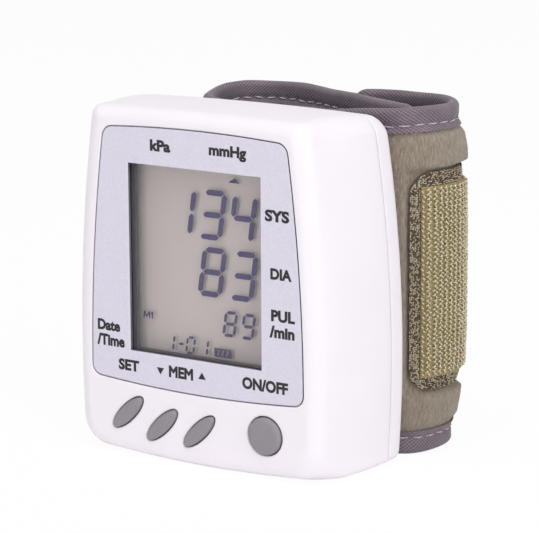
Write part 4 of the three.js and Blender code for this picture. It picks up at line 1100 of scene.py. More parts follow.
@dataclass
class Display:
    """The liquid crystal display: border of the lens, glass, reflector and figures."""

    window: DisplayPlace = DisplayPlace()
    lens_front_y: float = 1.1
    lens_margin: float = 1.0
    border_height: float = 0.04
    glass_y: Pair = (3.76, 4.55)
    reflector_y: Pair = (4.62, 5.9)
    cell_margin: float = 2.0
    bevel: float = 0.15
    figure_height: float = 0.05
    slant: float = 0.15
    gap: float = 0.16  # between neighbouring segments
    seat: float = 0.01  # between the figures and the glass
    pointer: tuple[Pair, ...] = ((5.9, 58.8), (8.6, 58.8), (7.55, 59.85))
    memory_place: Pair = (-15.25, 28.6)
    memory_stroke: float = 0.3
    memory_lines: tuple[tuple[Pair, ...], ...] = (
        ((0.0, 0.0), (0.2, 1.4), (0.725, 0.3), (1.45, 1.4), (1.45, 0.0)),
        ((2.1, 0.0), (2.2, 1.4)),
        ((1.85, 0.95), (2.2, 1.4)),
    )
    icon_x: Pair = (2.25, 6.4)
    icon_z: Pair = (22.7, 24.5)
    icon_bar: float = 0.32
    icon_blocks: int = 4
    icon_light: float = 0.42  # width of the light strokes between the blocks
    icon_lean: float = 0.3
    rows: tuple[Numeral, ...] = (
        *numerals("134", -8.4, 47.25, 7.38, 4.75, 9.1, 1.15),
        *numerals("83", -1.15, 35.5, 7.55, 4.75, 9.1, 1.15),
        *numerals("89", 4.55, 27.5, 4.38, 2.5, 4.75, 0.66),
        *numerals("1", -9.75, 22.6, 2.4, 1.7, 3.25, 0.5),
        *numerals("-", -6.95, 22.6, 2.4, 1.5, 3.25, 0.5),
        *numerals("01", -4.75, 22.6, 3.3, 1.75, 3.25, 0.5),
    )

    def build(self) -> None:
        """Builds every piece of the display."""
        self.border()
        self.plates()
        self.figures()

    def border(self) -> None:
        """Prints the dark border round the lens, hidden behind the panel's edge."""
        sketch = Sketch()
        depths = (self.lens_front_y - self.border_height, self.lens_front_y)
        outer = [sketch.ring(self.window.ring(y, self.lens_margin)) for y in depths]
        inner = [sketch.ring(self.window.ring(y)) for y in depths]
        for rings in (outer, inner):
            sketch.loft(rings)
        for side in (0, 1):
            sketch.fill(outer[side], [inner[side]])
        keep(sketch.make("lens_border_print", [BLACK_INK]), Body.HOUSING, BLACK_INK)

    def plates(self) -> None:
        """Builds the reflector and the front glass, flat plates with ground edges."""
        edge = self.bevel
        reflector = ("display_reflector", self.reflector_y, REFLECTOR, ["display_cell"])
        glass = ("display_front_glass", self.glass_y, CELL_GLASS, [])
        for name, (front, back), finish, stands_for in (reflector, glass):
            sketch = Sketch()
            profile = ((front, -edge), (front + edge, 0.0), (back - edge, 0.0), (back, -edge))
            sketch.tube([sketch.ring(self.window.ring(y, self.cell_margin + grow)) for y, grow in profile])
            keep(sketch.make(name, [finish], sharp_deg=20.0), Body.HOUSING, finish, stands_for)

    def figures(self) -> None:
        """Builds the dark figures and marks on the glass."""
        sketch = Sketch()
        for numeral in self.rows:
            for segment in SEGMENTS[numeral.figure]:
                self.prism(sketch, self.segment(numeral, segment))
        self.prism(sketch, self.pointer)
        self.memory_mark(sketch)
        self.icon(sketch)
        piece = sketch.make("display_figures", [DARK_CRYSTAL], sharp_deg=20.0)
        keep(piece, Body.HOUSING, DARK_CRYSTAL)

    def segment(self, numeral: Numeral, segment: str) -> list[Pair]:
        """Outline of one segment, pointed at both ends and slanted.

        Args:
            numeral: what it belongs to.
            segment: its letter, a at the top clockwise to f, g across.

        Returns:
            Six corners as x and z.
        """
        a, b = np.array(SEGMENT_ENDS[segment]) * (numeral.width, numeral.height)
        along = (b - a) / np.hypot(*(b - a))
        side = np.array([-along[1], along[0]]) * numeral.stroke / 2
        start, end = a + along * self.gap, b - along * self.gap
        tip = along * numeral.stroke / 2
        shape = [start, start + tip + side, end - tip + side, end, end - tip - side, start + tip - side]
        return [(numeral.x + x + self.slant * z, numeral.z + z) for x, z in shape]

    def prism(self, sketch: Sketch, outline: Sequence[Pair]) -> None:
        """Adds a flat figure in front of the glass."""
        back = self.glass_y[0] - self.seat
        sketch.prism(outline, back - self.figure_height, back)

    def memory_mark(self, sketch: Sketch) -> None:
        """Adds the small memory number at the left, an M and a 1.

        Args:
            sketch: the figures so far.
        """
        for line in self.memory_lines:
            points = [np.array(self.memory_place) + point for point in line]
            for a, b in zip(points, points[1:]):
                way = b - a
                side = np.array([-way[1], way[0]]) / np.hypot(*way) * self.memory_stroke / 2
                self.prism(sketch, [tuple(p + s * side) for p, s in ((a, 1), (b, 1), (b, -1), (a, -1))])

    def icon(self, sketch: Sketch) -> None:
        """Adds a dark box with light strokes, at the lower right of the date.

        Args:
            sketch: the figures so far.
        """
        (x0, x1), (z0, z1), bar, count = self.icon_x, self.icon_z, self.icon_bar, self.icon_blocks
        for low in (z0, z1 - bar):
            self.prism(sketch, [(x0, low), (x1, low), (x1, low + bar), (x0, low + bar)])
        foot, head = z0 + bar, z1 - bar
        for i in range(count):
            starts, ends = float(i > 0), float(i < count - 1)
            left = x0 + (x1 - x0) * i / count + self.icon_light / 2 * starts
            right = x0 + (x1 - x0) * (i + 1) / count - self.icon_light / 2 * ends
            a, b = (self.icon_lean / 2 * share for share in (starts, ends))
            self.prism(sketch, [(left - a, foot), (right - b, foot), (right + b, head), (left + a, head)])


@dataclass
class Keypad:
    """The four rubber keys in their holes."""

    proud: float = 0.7
    dome: float = 1.1
    crown: float = 0.08
    crown_shares: tuple[float, ...] = (0.12, 0.35, 0.6, 0.82)
    flange_y: Pair = (2.5, 3.5)
    flange: float = 0.8
    stem_radius: float = 1.4
    stem_end_y: float = 4.6

    def build(self) -> None:
        """Builds every key."""
        for key in KEYS:
            self.key(key)

    def key(self, spot: KeySpot) -> None:
        """Builds one key: crowned cap, rounded rim, flange and stem.

        Args:
            spot: the key's place and size.
        """
        sketch = Sketch()
        rings = []
        for share in self.crown_shares:
            y = -self.proud - self.crown * (1 - share**2)
            rings.append(sketch.ring(spot.ring(y, -self.dome, share)))
        for inward, down in quarter(7):
            rings.append(sketch.ring(spot.ring(-self.proud * (1 - down), -self.dome * inward)))
        front, back = self.flange_y
        for y, grow in ((front, 0.0), (front, self.flange), (back, self.flange)):
            rings.append(sketch.ring(spot.ring(y, grow)))
        turn = np.arange(spot.points) / spot.points * 2 * pi + radians(spot.tilt_deg)
        for y in (back, self.stem_end_y):
            x, z = (self.stem_radius * wave(turn) for wave in (np.cos, np.sin))
            stem = np.stack([spot.x + x, np.full(spot.points, y), spot.z + z], 1)
            rings.append(sketch.ring(stem))
        sketch.tube(rings)
        piece = sketch.make(f"{spot.name}_key_cap", [GREY_SILICONE])
        keep(piece, spot.body, GREY_SILICONE, [f"{spot.name}_button"])


class PlanCurve:
    """A smooth line in plan through a few points, read by its length."""

    def __init__(self, points: Sequence[Pair], base_y: float, steps: int = 60) -> None:
        """Draws the line.

        Args:
            points: x and distance behind the cuff's base.
            base_y: depth of the cuff's base.
            steps: points drawn from one to the next.
        """
        given = np.array(points, float) + (0.0, base_y)
        given = np.vstack([2 * given[0] - given[1], given, 2 * given[-1] - given[-2]])
        drawn = []
        for p0, p1, p2, p3 in zip(given, given[1:], given[2:], given[3:]):
            d0, d1, d2 = (sqrt(np.hypot(*(b - a))) for a, b in ((p0, p1), (p1, p2), (p2, p3)))
            m1 = ((p1 - p0) / d0 - (p2 - p0) / (d0 + d1) + (p2 - p1) / d1) * d1
            m2 = ((p2 - p1) / d1 - (p3 - p1) / (d1 + d2) + (p3 - p2) / d2) * d1
            t = (np.arange(steps) / steps)[:, None]
            bend = -3 * p1 + 3 * p2 - 2 * m1 - m2
            twist = 2 * p1 - 2 * p2 + m1 + m2
            drawn.append(p1 + m1 * t + bend * t**2 + twist * t**3)
        self.points = np.vstack([*drawn, given[-2:-1]])
        gaps = np.hypot(*np.diff(self.points, axis=0).T)
        self.lengths = np.hstack([0.0, np.cumsum(gaps)])
        self.total = float(self.lengths[-1])
        ways = np.gradient(self.points, self.lengths, axis=0)
        self.table = np.hstack([self.points, ways / np.hypot(*ways.T)[:, None]])

    def at(self, lengths: Array) -> tuple[Array, Array]:
        """Points and unit directions at lengths along the line, one row each."""
        rows = np.stack([np.interp(lengths, self.lengths, column) for column in self.table.T], 1)
        return rows[:, :2], rows[:, 2:] / np.hypot(*rows[:, 2:].T)[:, None]

    def nearest(self, x: float, y: float) -> float:
        """Length along the line at its nearest point to a place."""
        return float(self.lengths[np.argmin(np.hypot(*(self.points - (x, y)).T))])


def ease(value: Array) -> Array:
    """A smooth step from 0 at 0 to 1 at 1."""
    t = np.clip(value, 0.0, 1.0)
    return t * t * (3 - 2 * t)


def ripple(s: Array, z: Array) -> Array:
    """Smooth seeded noise, about from -1 to 1, on a grid of two axes."""
    return np.array([[noise.noise((a, b, SEED * 0.37)) for b in z] for a in s])


@dataclass(frozen=True)
class CuffSizes:
    """Sizes that all runs of the cuff share."""

    bottom_z: float = 0.2
    top_z: float = 72.45
    base_y: float = HOUSING_DEPTH + 2.1
    half: float = 1.7  # half the thickness of the padded cuff at its bindings' feet
    rim: float = 1.2  # half the thickness of a bound edge
    binding: float = 5.0
    tape: float = 0.42
    tip_corner: float = 3.5  # radius of a flap's corners at its tip
    seam: float = 3.6  # distance of the stitches from the edge
    stitch_pitch: float = 2.9
    stitch_length: float = 2.1
    thread_radius: float = 0.15
    seam_grip: float = 0.28  # how deep the stitches draw the tape in
    seam_width: float = 0.7
    tuck: float = 0.55  # the plush dips this far under the tape
    tuck_width: float = 1.8
    under_tape: float = 0.4  # how far plush and lining run in under the tape
    lining: float = 0.6
    bladder_x: Pair = (-9.6, 17.0)
    bladder_swell: float = 1.1
    bladder_half_height: float = 30.0
    lining_over_bladder: float = -2.1
    cover: float = 0.8  # offset of the thin cover's hidden side over the retainer plate
    plush_back: float = 0.15  # the same on a flap

    @property
    def middle_z(self) -> float:
        """Height of the cuff's middle."""
        return (self.bottom_z + self.top_z) / 2

    def fullness(self, z: Array) -> Array:
        """How full a padded face is at a height: 0 at the bindings, 1 in the middle."""
        half = (self.top_z - self.bottom_z) / 2 - self.binding
        return 1 - np.minimum(1.0, np.abs((z - self.middle_z) / half)) ** 4

    def tucked(self, z: Array) -> Array:
        """Share of the tuck under the bindings that is left at a height."""
        inside = np.minimum(z - self.bottom_z, self.top_z - z) - self.binding
        return 1 - ease(inside / self.tuck_width)

    def edge_z(self, edge: Edge, below: Array) -> Array:
        """Heights at distances in from a long edge."""
        return self.top_z - below if edge is Edge.TOP else self.bottom_z + below


def weights(grid: Array, places: Array) -> Array:
    """Cubic weights of an even grid's values at places, none outside it.

    Args:
        grid: evenly spaced values.
        places: where to read.

    Returns:
        A table of places by grid values.
    """
    step = grid[1] - grid[0]
    off = np.abs((places[:, None] - grid[None, :]) / step)
    near = 1.5 * off**3 - 2.5 * off**2 + 1
    far = -0.5 * off**3 + 2.5 * off**2 - 4 * off + 2
    return np.where(off < 1, near, np.where(off < 2, far, 0.0))


@dataclass
class Strip:
    """A run of the cuff along a plan line: plush, lining, two taped edges, stitches."""

    name: str
    path: PlanCurve
    outside: int
    start: float
    end: float
    crown: float = 0.0
    ramp: float = 7.0  # length over which the crown rises
    free_tip: bool = True
    dips: tuple[Pair, ...] = ((0.0, 0.0),)  # how far the top edge hangs, by length
    sizes: CuffSizes = CuffSizes()
    swell: Face | None = None
    face_step: float = 0.55
    lining_step: float = 0.9
    hem: float = 2.4  # of the lining's flat height, in the two tapes
    tape_step: float = 0.36
    lining_crown: float = 0.35
    tuft: float = 0.05  # height of the nap's tufts, at each of two sizes along and across
    tuft_sizes: tuple[Pair, ...] = ((0.9, 1.6), (3.5, 5.0))
    wrinkle: float = 0.06  # height of the lining's wrinkles
    wrinkle_size: Pair = (4.0, 9.0)
    crease: float = 0.1  # height of the tape's creases
    crease_size: Pair = (2.4, 3.4)
    crease_level: float = 0.4
    waver: float = 0.22  # how far a bound edge wavers up and down
    waver_size: float = 9.0
    thinnest: float = 0.02  # share of its thickness that a run keeps at its tip
    stitch_slant: float = 0.14
    stitch_stray: float = 0.08
    stitch_arch: float = 0.2
    stitch_sink: float = 0.08

    def lengths(self, step: float) -> Array:
        """Lengths along the run, closer together at a free tip.

        Args:
            step: about how far they are apart.

        Returns:
            The lengths from start to end.
        """
        even = np.linspace(self.start, self.end, max(3, round((self.end - self.start) / step) + 1))
        if not self.free_tip:
            return even
        last = self.end - self.sizes.half
        tip = last + self.sizes.half * np.sin(np.linspace(0, pi / 2, 8))
        return np.concatenate([even[even < last], tip])

    def closing(self, s: Array) -> Array:
        """Share of its thickness that the run has left, which falls round a free tip."""
        into = np.clip(1 - (self.end - s) / self.sizes.half, 0.0, 1.0)
        return np.maximum(np.sqrt(1 - into**2), self.thinnest) if self.free_tip else np.ones(s.shape)

    def hung(self, s: Array, heights: Array) -> Array:
        """Heights once the top edge hangs and a free tip is rounded off.

        Args:
            s: lengths along the run.
            heights: heights of a straight run there.

        Returns:
            The heights, in the shape of both together.
        """
        sizes = self.sizes
        up = (heights - sizes.middle_z) / (sizes.top_z - sizes.middle_z)
        dip = np.interp(s, *np.transpose(self.dips))
        radius = sizes.tip_corner
        into = np.clip(s - self.end + radius, 0, radius) if self.free_tip else np.zeros(s.shape)
        return heights - dip * ease(up) - (radius - np.sqrt(radius**2 - into**2)) * up

    def rise(self, s: Array) -> Array:
        """Share of its crown that the plush has along the run."""
        return self.risen(s - self.start, self.end - s)

    def risen(self, past: Array, left: Array) -> Array:
        """Share of the crown at distances past its start and left to the run's end."""
        near, far = (np.clip(d / self.ramp, 0, 1) for d in (past, left + self.ramp / 4))
        return np.sin(pi / 2 * near) * np.sin(pi / 2 * far)

    def plush_face(self, s: Array, z: Array) -> Array:
        """Offset of the plush's outer face.

        Args:
            s: lengths along the run.
            z: heights.

        Returns:
            A table of lengths by heights.
        """
        sizes = self.sizes
        face = self.crown * self.rise(s)[:, None] * sizes.fullness(z)
        face = face + sizes.half - sizes.tuck * sizes.tucked(z)
        return face if self.swell is None else face + self.swell(s, z)

    def plush_back(self, s: Array) -> Array:
        """Offset of the plush's hidden side along the run."""
        return np.full(s.shape, self.sizes.plush_back)

    def lining_face(self, s: Array, z: Array) -> Array:
        """Offset of the lining's wrist side, as a table of lengths by heights."""
        crown = self.lining_crown * self.rise(s)[:, None] * self.sizes.fullness(z)
        return -self.sizes.half - crown + self.sizes.tuck * self.sizes.tucked(z)

    def outward(self, s: Array) -> Array:
        """Directions to the cuff's outside at lengths along the run, in plan."""
        way = self.path.at(s)[1]
        return np.stack([way[:, 1], -way[:, 0]], 1) * self.outside

    def lean(self, s: Array, heights: Array) -> Array:
        """How far the run leans inwards; a plain run stands upright."""
        return np.zeros(np.broadcast_shapes(s.shape, heights.shape))

    def placed(self, s: Array, offsets: Array, heights: Array) -> Array:
        """Places points that are given along the run.

        Args:
            s: lengths, as a row or a column of a table.
            offsets: offsets to the outside, a value or a row for each length.
            heights: heights, likewise.

        Returns:
            Points, with x, y and z along the last axis.
        """
        flat = s.ravel()
        shape = (*s.shape, 2)
        middle, out = (table.reshape(shape) for table in (self.path.at(flat)[0], self.outward(flat)))
        off = offsets * self.closing(s) - self.lean(s, heights)
        plan = middle + out * off[..., None]
        return np.concatenate([plan, self.hung(s, heights)[..., None]], -1)

    def sweep(self, s: Array, offsets: Array, heights: Array) -> Sketch:
        """Sweeps closed sections along the run.

        Args:
            s: lengths of the sections.
            offsets: a table of their points' offsets.
            heights: the points' heights, or one row of them.

        Returns:
            A sketch of the form.
        """
        sketch = Sketch()
        heights = np.broadcast_to(heights, offsets.shape)
        points = self.placed(s[:, None], offsets, heights)
        steps = np.linalg.norm(np.diff(points, axis=1), axis=2).mean(0)
        around = np.hstack([0.0, np.cumsum(steps)])
        rings = []
        for length, row in zip(s, points):
            cloth = np.stack([np.full(len(around), length), around, np.zeros(len(around))], 1)
            rings.append(sketch.ring(row, cloth))
        sketch.tube(rings)
        return sketch

    def rows(self, count: int) -> Array:
        """Heights of a padded face that runs in under both tapes."""
        reach = self.sizes.binding - self.sizes.under_tape
        return np.linspace(self.sizes.bottom_z + reach, self.sizes.top_z - reach, count)

    def plush(self) -> Piece:
        """Builds the plush pad with small tufts in its nap.

        Returns:
            The piece.
        """
        s, z = self.lengths(self.face_step), self.rows(121)
        fine, coarse = (self.tuft * ripple(s / a, z / b) for a, b in self.tuft_sizes)
        back = np.repeat(self.plush_back(s)[:, None], len(z[HIDDEN]), 1)
        offsets = np.hstack([self.plush_face(s, z) + (fine + coarse), back])
        sketch = self.sweep(s, offsets, np.hstack([z, z[HIDDEN]]))
        return sketch.make(f"{self.name}_plush_pad", [KHAKI_PLUSH], sharp_deg=60.0)

    def liner(self) -> Piece:
        """Builds the lining, a thin and slightly wrinkled cloth.

        Returns:
            The piece.
        """
        s, z = self.lengths(self.lining_step), self.rows(61)
        along, across = self.wrinkle_size
        face = self.lining_face(s, z) + self.wrinkle * ripple(s / along, z / across)
        offsets = np.hstack([face, self.lining_face(s, z[HIDDEN]) + self.sizes.lining])
        sketch = self.sweep(s, offsets, np.hstack([z, z[HIDDEN]]))
        return sketch.make(f"{self.name}_lining_cloth", [NYLON_TAFFETA], sharp_deg=60.0)

    def tape_face(self, s: Array, below: Array) -> Array:
        """Half thickness of a bound edge, drawn in at its stitches.

        Args:
            s: lengths along the run.
            below: distances in from the edge.

        Returns:
            A table of lengths by distances.
        """
        sizes = self.sizes
        short = np.clip(sizes.rim - below, 0, sizes.rim)
        round_over = np.sqrt(sizes.rim**2 - short**2)
        stitch = (0.5 - 0.5 * np.cos(2 * pi * s / sizes.stitch_pitch))[:, None]
        grip = sizes.seam_grip * np.exp(-(((below - sizes.seam) / sizes.seam_width) ** 2))
        flare = (sizes.half - sizes.rim) * ease((below - sizes.seam) / (sizes.binding - sizes.seam))
        along, across = self.crease_size
        creases = self.crease * (ripple(s / along, below / across) - self.crease_level)
        face = round_over - grip * (0.6 + 0.4 * stitch) + flare * (0.8 + 0.2 * stitch)
        return face + creases * ease(below / sizes.rim)

    def tape(self, edge: Edge) -> Piece:
        """Builds the binding tape folded over an edge.

        Args:
            edge: which edge.

        Returns:
            The piece.
        """
        sizes = self.sizes
        s = self.lengths(self.tape_step)
        fold = sizes.rim * (1 - np.cos(np.linspace(0.12, pi / 2, 9)))
        down = np.concatenate([fold, np.linspace(sizes.rim, sizes.binding, 18)[1:]])
        face = self.tape_face(s, down)
        inside = np.maximum(face - sizes.tape, self.thinnest)
        lifted = self.waver * ripple(s / self.waver_size, np.zeros(1))
        outer = down + lifted * (1 - ease(down / sizes.binding))
        hidden = np.maximum(outer, sizes.tape)
        offsets = np.hstack([face[:, ::-1], -face, -inside[:, ::-1], inside])
        below = np.hstack([outer[:, ::-1], outer, hidden[:, ::-1], hidden])
        sketch = self.sweep(s, offsets, sizes.edge_z(edge, below))
        return sketch.make(f"{self.name}_{edge.value}_tape", [TWILL_TAPE], sharp_deg=60.0)

    def stitches(self, edge: Edge) -> Piece:
        """Builds the lockstitch rows on both sides of a bound edge.

        Args:
            edge: which edge.

        Returns:
            The piece.
        """
        sizes = self.sizes
        sketch = Sketch()
        draw = random.Random(SEED)
        half = sizes.stitch_length / 2
        first = ceil((self.start + half) / sizes.stitch_pitch)
        last = floor((self.end - half) / sizes.stitch_pitch)
        share = np.linspace(-1, 1, 9)
        slant, stray = self.stitch_slant, self.stitch_stray
        arch = self.stitch_arch * np.sqrt(np.clip(1 - share**2, 0, 1))
        for side in (1, -1):
            for number in range(first, last + 1):
                s = number * sizes.stitch_pitch + share * half
                below = sizes.seam + share * draw.uniform(-slant, slant) + draw.uniform(-stray, stray)
                lift = np.diag(self.tape_face(s, below)) + arch - self.stitch_sink
                self.thread(sketch, s, side * lift, sizes.edge_z(edge, below), sizes.thread_radius)
        return sketch.make(f"{self.name}_{edge.value}_stitches", [PALE_THREAD], sharp_deg=80.0)

    def thread(
        self, sketch: Sketch, s: Array, offsets: Array, heights: Array, radius: float, finish: int = 0
    ) -> None:
        """Adds a round thread with tapered ends along points on the run.

        Args:
            sketch: takes the thread.
            s: the points' lengths.
            offsets: their offsets to the outside.
            heights: their heights.
            radius: the thread's radius.
            finish: its finish number.
        """
        line = self.placed(s, offsets, heights)
        normal = np.hstack([self.outward(s), np.zeros((len(s), 1))])
        way = np.gradient(line, axis=0)
        way /= np.linalg.norm(way, axis=1)[:, None]
        across = np.cross(way, normal)
        across /= np.linalg.norm(across, axis=1)[:, None]
        up = np.cross(across, way)
        turn = np.arange(THREAD_SIDES) / THREAD_SIDES * 2 * pi
        run = np.hstack([0.0, np.cumsum(np.linalg.norm(np.diff(line, axis=0), axis=1))])
        rings = []
        for i, point in enumerate(line):
            r = radius * (THREAD_TIP if i in (0, len(line) - 1) else 1.0)
            ring = point + r * (np.cos(turn)[:, None] * up[i] + np.sin(turn)[:, None] * across[i])
            cloth = np.stack([np.full(len(turn), run[i]), turn * radius, np.zeros(len(turn))], 1)
            rings.append(sketch.ring(ring, cloth))
        sketch.tube(rings, finish)

    def dress(self, carrier: Carrier, nodes: Sequence[str]) -> None:
        """Builds the whole run.

        Args:
            carrier: the body or the fold that carries it.
            nodes: construction nodes of the run.
        """
        covers = [n for n in nodes if n.endswith(("plush", "cover"))]
        pad = keep(self.plush(), carrier, KHAKI_PLUSH, covers)
        liner = keep(self.liner(), carrier, NYLON_TAFFETA, [n for n in nodes if n.endswith("lining")])
        for edge in Edge:
            bound = [n for n in nodes if n.endswith(f"{edge.value}_binding")]
            tape = keep(self.tape(edge), carrier, TWILL_TAPE, bound)
            rows = keep(self.stitches(edge), carrier, PALE_THREAD)


@dataclass(frozen=True)
class Patch:
    """Where the patch lies on the outer flap, and how deep it presses the plush."""

    s: Pair = (-1.3, 27.8)  # lengths from the fold
    z: Pair = (13.6, 59.2)
    press: float = 2.3
    seat: float = 0.15  # room between the plush and the patch
    slope: float = 1.4  # width of the plush's slope beside the patch

    def pressed(self, s: Array, z: Array) -> Array:
        """Share of the press that the plush gets, as a table of lengths by heights."""
        axes = ((s, *self.s), (z, *self.z))
        return np.outer(*(ease(1 + np.minimum(v - low, high - v) / self.slope) for v, low, high in axes))


@dataclass
class BentRun(Strip):
    """A run of the cuff from behind the housing, over the bladder and round a fold."""

    fold: float = 0.0
    bend_from: float = 0.0

    def past_bend(self, s: Array) -> Array:
        """From 0 where the run leaves the retainer plate to 1 at the fold."""
        return ease((s - self.bend_from) / (self.fold - self.bend_from))

    def past_bladder(self, s: Array) -> Array:
        """From 0 where the lining leaves the bladder to 1 where it meets the flap's own."""
        return self.past_bend(s)

    def plush_back(self, s: Array) -> Array:
        """The cover is thin over the retainer plate and thick on the flap."""
        return self.sizes.cover - (self.sizes.cover - self.sizes.plush_back) * self.past_bend(s)

    def lining_face(self, s: Array, z: Array) -> Array:
        """Offset of the lining, which covers the bladder before the fold.

        Args:
            s: lengths along the run.
            z: heights.

        Returns:
            A table of lengths by heights.
        """
        sizes = self.sizes
        x = self.path.at(s)[0][:, 0]
        left, right = sizes.bladder_x
        across = np.clip(1 - ((2 * x - left - right) / (right - left)) ** 4, 0, 1)
        upward = np.clip(1 - ((z - sizes.middle_z) / sizes.bladder_half_height) ** 4, 0, 1)
        flap = super().lining_face(s, z)
        swell = sizes.lining_over_bladder - sizes.lining - sizes.bladder_swell * across[:, None] * upward
        full = swell + (flap - swell) * sizes.tucked(z)
        return full + (flap - full) * self.past_bladder(s)[:, None]


@dataclass
class OuterWrap(BentRun):
    """The run round the right fold and along the outer flap."""

    patch: Patch = Patch()
    fold_press: float = 0.4  # share of the press at the fold
    lean_in: float = 1.2
    lean_z: float = 11.0  # height where the lean starts to fade, over a length
    lean_fade: float = 7.0

    def plush_face(self, s: Array, z: Array) -> Array:
        """The plush is pressed down where the patch is sewn on."""
        depth = self.pressing(s) + self.patch.seat
        return super().plush_face(s, z) - depth[:, None] * self.patch.pressed(s - self.fold, z)

    def pressing(self, s: Array) -> Array:
        """How deep the patch sinks along the run, little at the thin fold."""
        past = np.sin(pi / 2 * np.clip((s - self.fold) / self.ramp, 0, 1))
        return self.patch.press * (self.fold_press + (1 - self.fold_press) * past)

    def lean(self, s: Array, heights: Array) -> Array:
        """Below the patch the flap leans in, most in the middle of its length."""
        along = np.clip((s - self.fold) / (self.end - self.fold), 0, 1)
        return self.lean_in * np.sin(pi * along) * (1 - ease((heights - self.lean_z) / self.lean_fade))

    def rise(self, s: Array) -> Array:
        """The crown starts at the fold and fades at the flap's tip."""
        return self.risen(s - self.fold, self.end - s)


@dataclass
class LeftFold(BentRun):
    """The short run round the left fold to the inner flap."""

    lining_bend: Pair = (-4.0, 5.0)  # where the lining leaves the bladder, and for how long

    def past_bladder(self, s: Array) -> Array:
        """The lining comes off the bladder's edge over a length of its own."""
        start, length = self.lining_bend
        return ease((s - self.bend_from - start) / length)


@dataclass
class PadInflation:
    """Cloth simulation of a pad's face, pinned at its seams and blown up from inside."""

    step: float = 1.7
    frames: int = 20
    pressure: float = 4.0
    slack: float = -0.05
    scale: float = 10.0  # the pad is simulated this many times as large, where cloth is steadier
    cap: float = 0.6

    def run(self, strip: Strip, first: float, last: float, held: Face) -> Face:
        """Blows the pad up and measures how far its face stands out.

        Args:
            strip: the pad's run.
            first: length where the pad starts.
            last: length where it ends.
            held: tells which places are sewn down.

        Returns:
            The capped swell, smooth between the simulated places.
        """
        sizes = strip.sizes
        low, high = sizes.bottom_z + sizes.binding, sizes.top_z - sizes.binding
        s = np.linspace(first, last, round((last - first) / self.step) + 1)
        z = np.linspace(low, high, round((high - low) / self.step) + 1)
        back = np.repeat(strip.plush_back(s)[:, None], len(z), 1)
        offsets = np.hstack([strip.plush_face(s, z), back[:, ::-1]])
        sketch = strip.sweep(s, offsets, np.hstack([z, z[::-1]]))
        pad = sketch.make("pad_under_test", [KHAKI_PLUSH])
        pad.data.transform(Matrix.Scale(self.scale, 4))
        grid_s, grid_z = np.meshgrid(s, z, indexing="ij")
        fixed = held(grid_s, grid_z)
        fixed[[0, -1], :] = True
        fixed[:, [0, -1]] = True
        sewn = np.hstack([fixed, np.ones(fixed.shape, bool)])
        pins = pad.vertex_groups.new(name="sewn")
        pins.add(np.flatnonzero(sewn.ravel()).tolist(), 1.0, "REPLACE")
        before = self.places(pad)
        self.blow(pad)
        after = self.places(pad)
        out = strip.outward(s)
        moved = (after - before).reshape(len(s), 2 * len(z), 3)[:, : len(z), :2]
        stands = (moved * out[:, None, :]).sum(2) / (self.scale * MM)
        bpy.data.objects.remove(pad)
        LOG.info("%s pad swells by up to %.2f mm before its cap", strip.name, stands.max())
        capped = self.cap * np.tanh(stands / self.cap)
        return lambda lengths, heights: weights(s, lengths) @ capped @ weights(z, heights).T

    def blow(self, pad: Piece) -> None:
        """Runs the simulation frame by frame.

        Args:
            pad: what is blown up.
        """
        cloth = pad.modifiers.new("inflation", "CLOTH")
        settings = cloth.settings
        settings.quality = 6
        settings.mass = 0.2
        settings.tension_stiffness = settings.compression_stiffness = 12.0
        settings.bending_stiffness = 0.4
        settings.use_pressure = True
        settings.uniform_pressure_force = self.pressure
        settings.shrink_min = self.slack
        settings.vertex_group_mass = "sewn"
        settings.effector_weights.gravity = 0.0
        cloth.point_cache.frame_start = 1
        cloth.point_cache.frame_end = self.frames
        for number in range(1, self.frames + 1):
            bpy.context.scene.frame_set(number)

    def places(self, pad: Piece) -> Array:
        """Places of the pad's points with its modifiers."""
        shown = pad.evaluated_get(bpy.context.evaluated_depsgraph_get())
        return np.array([point.co for point in shown.data.vertices])


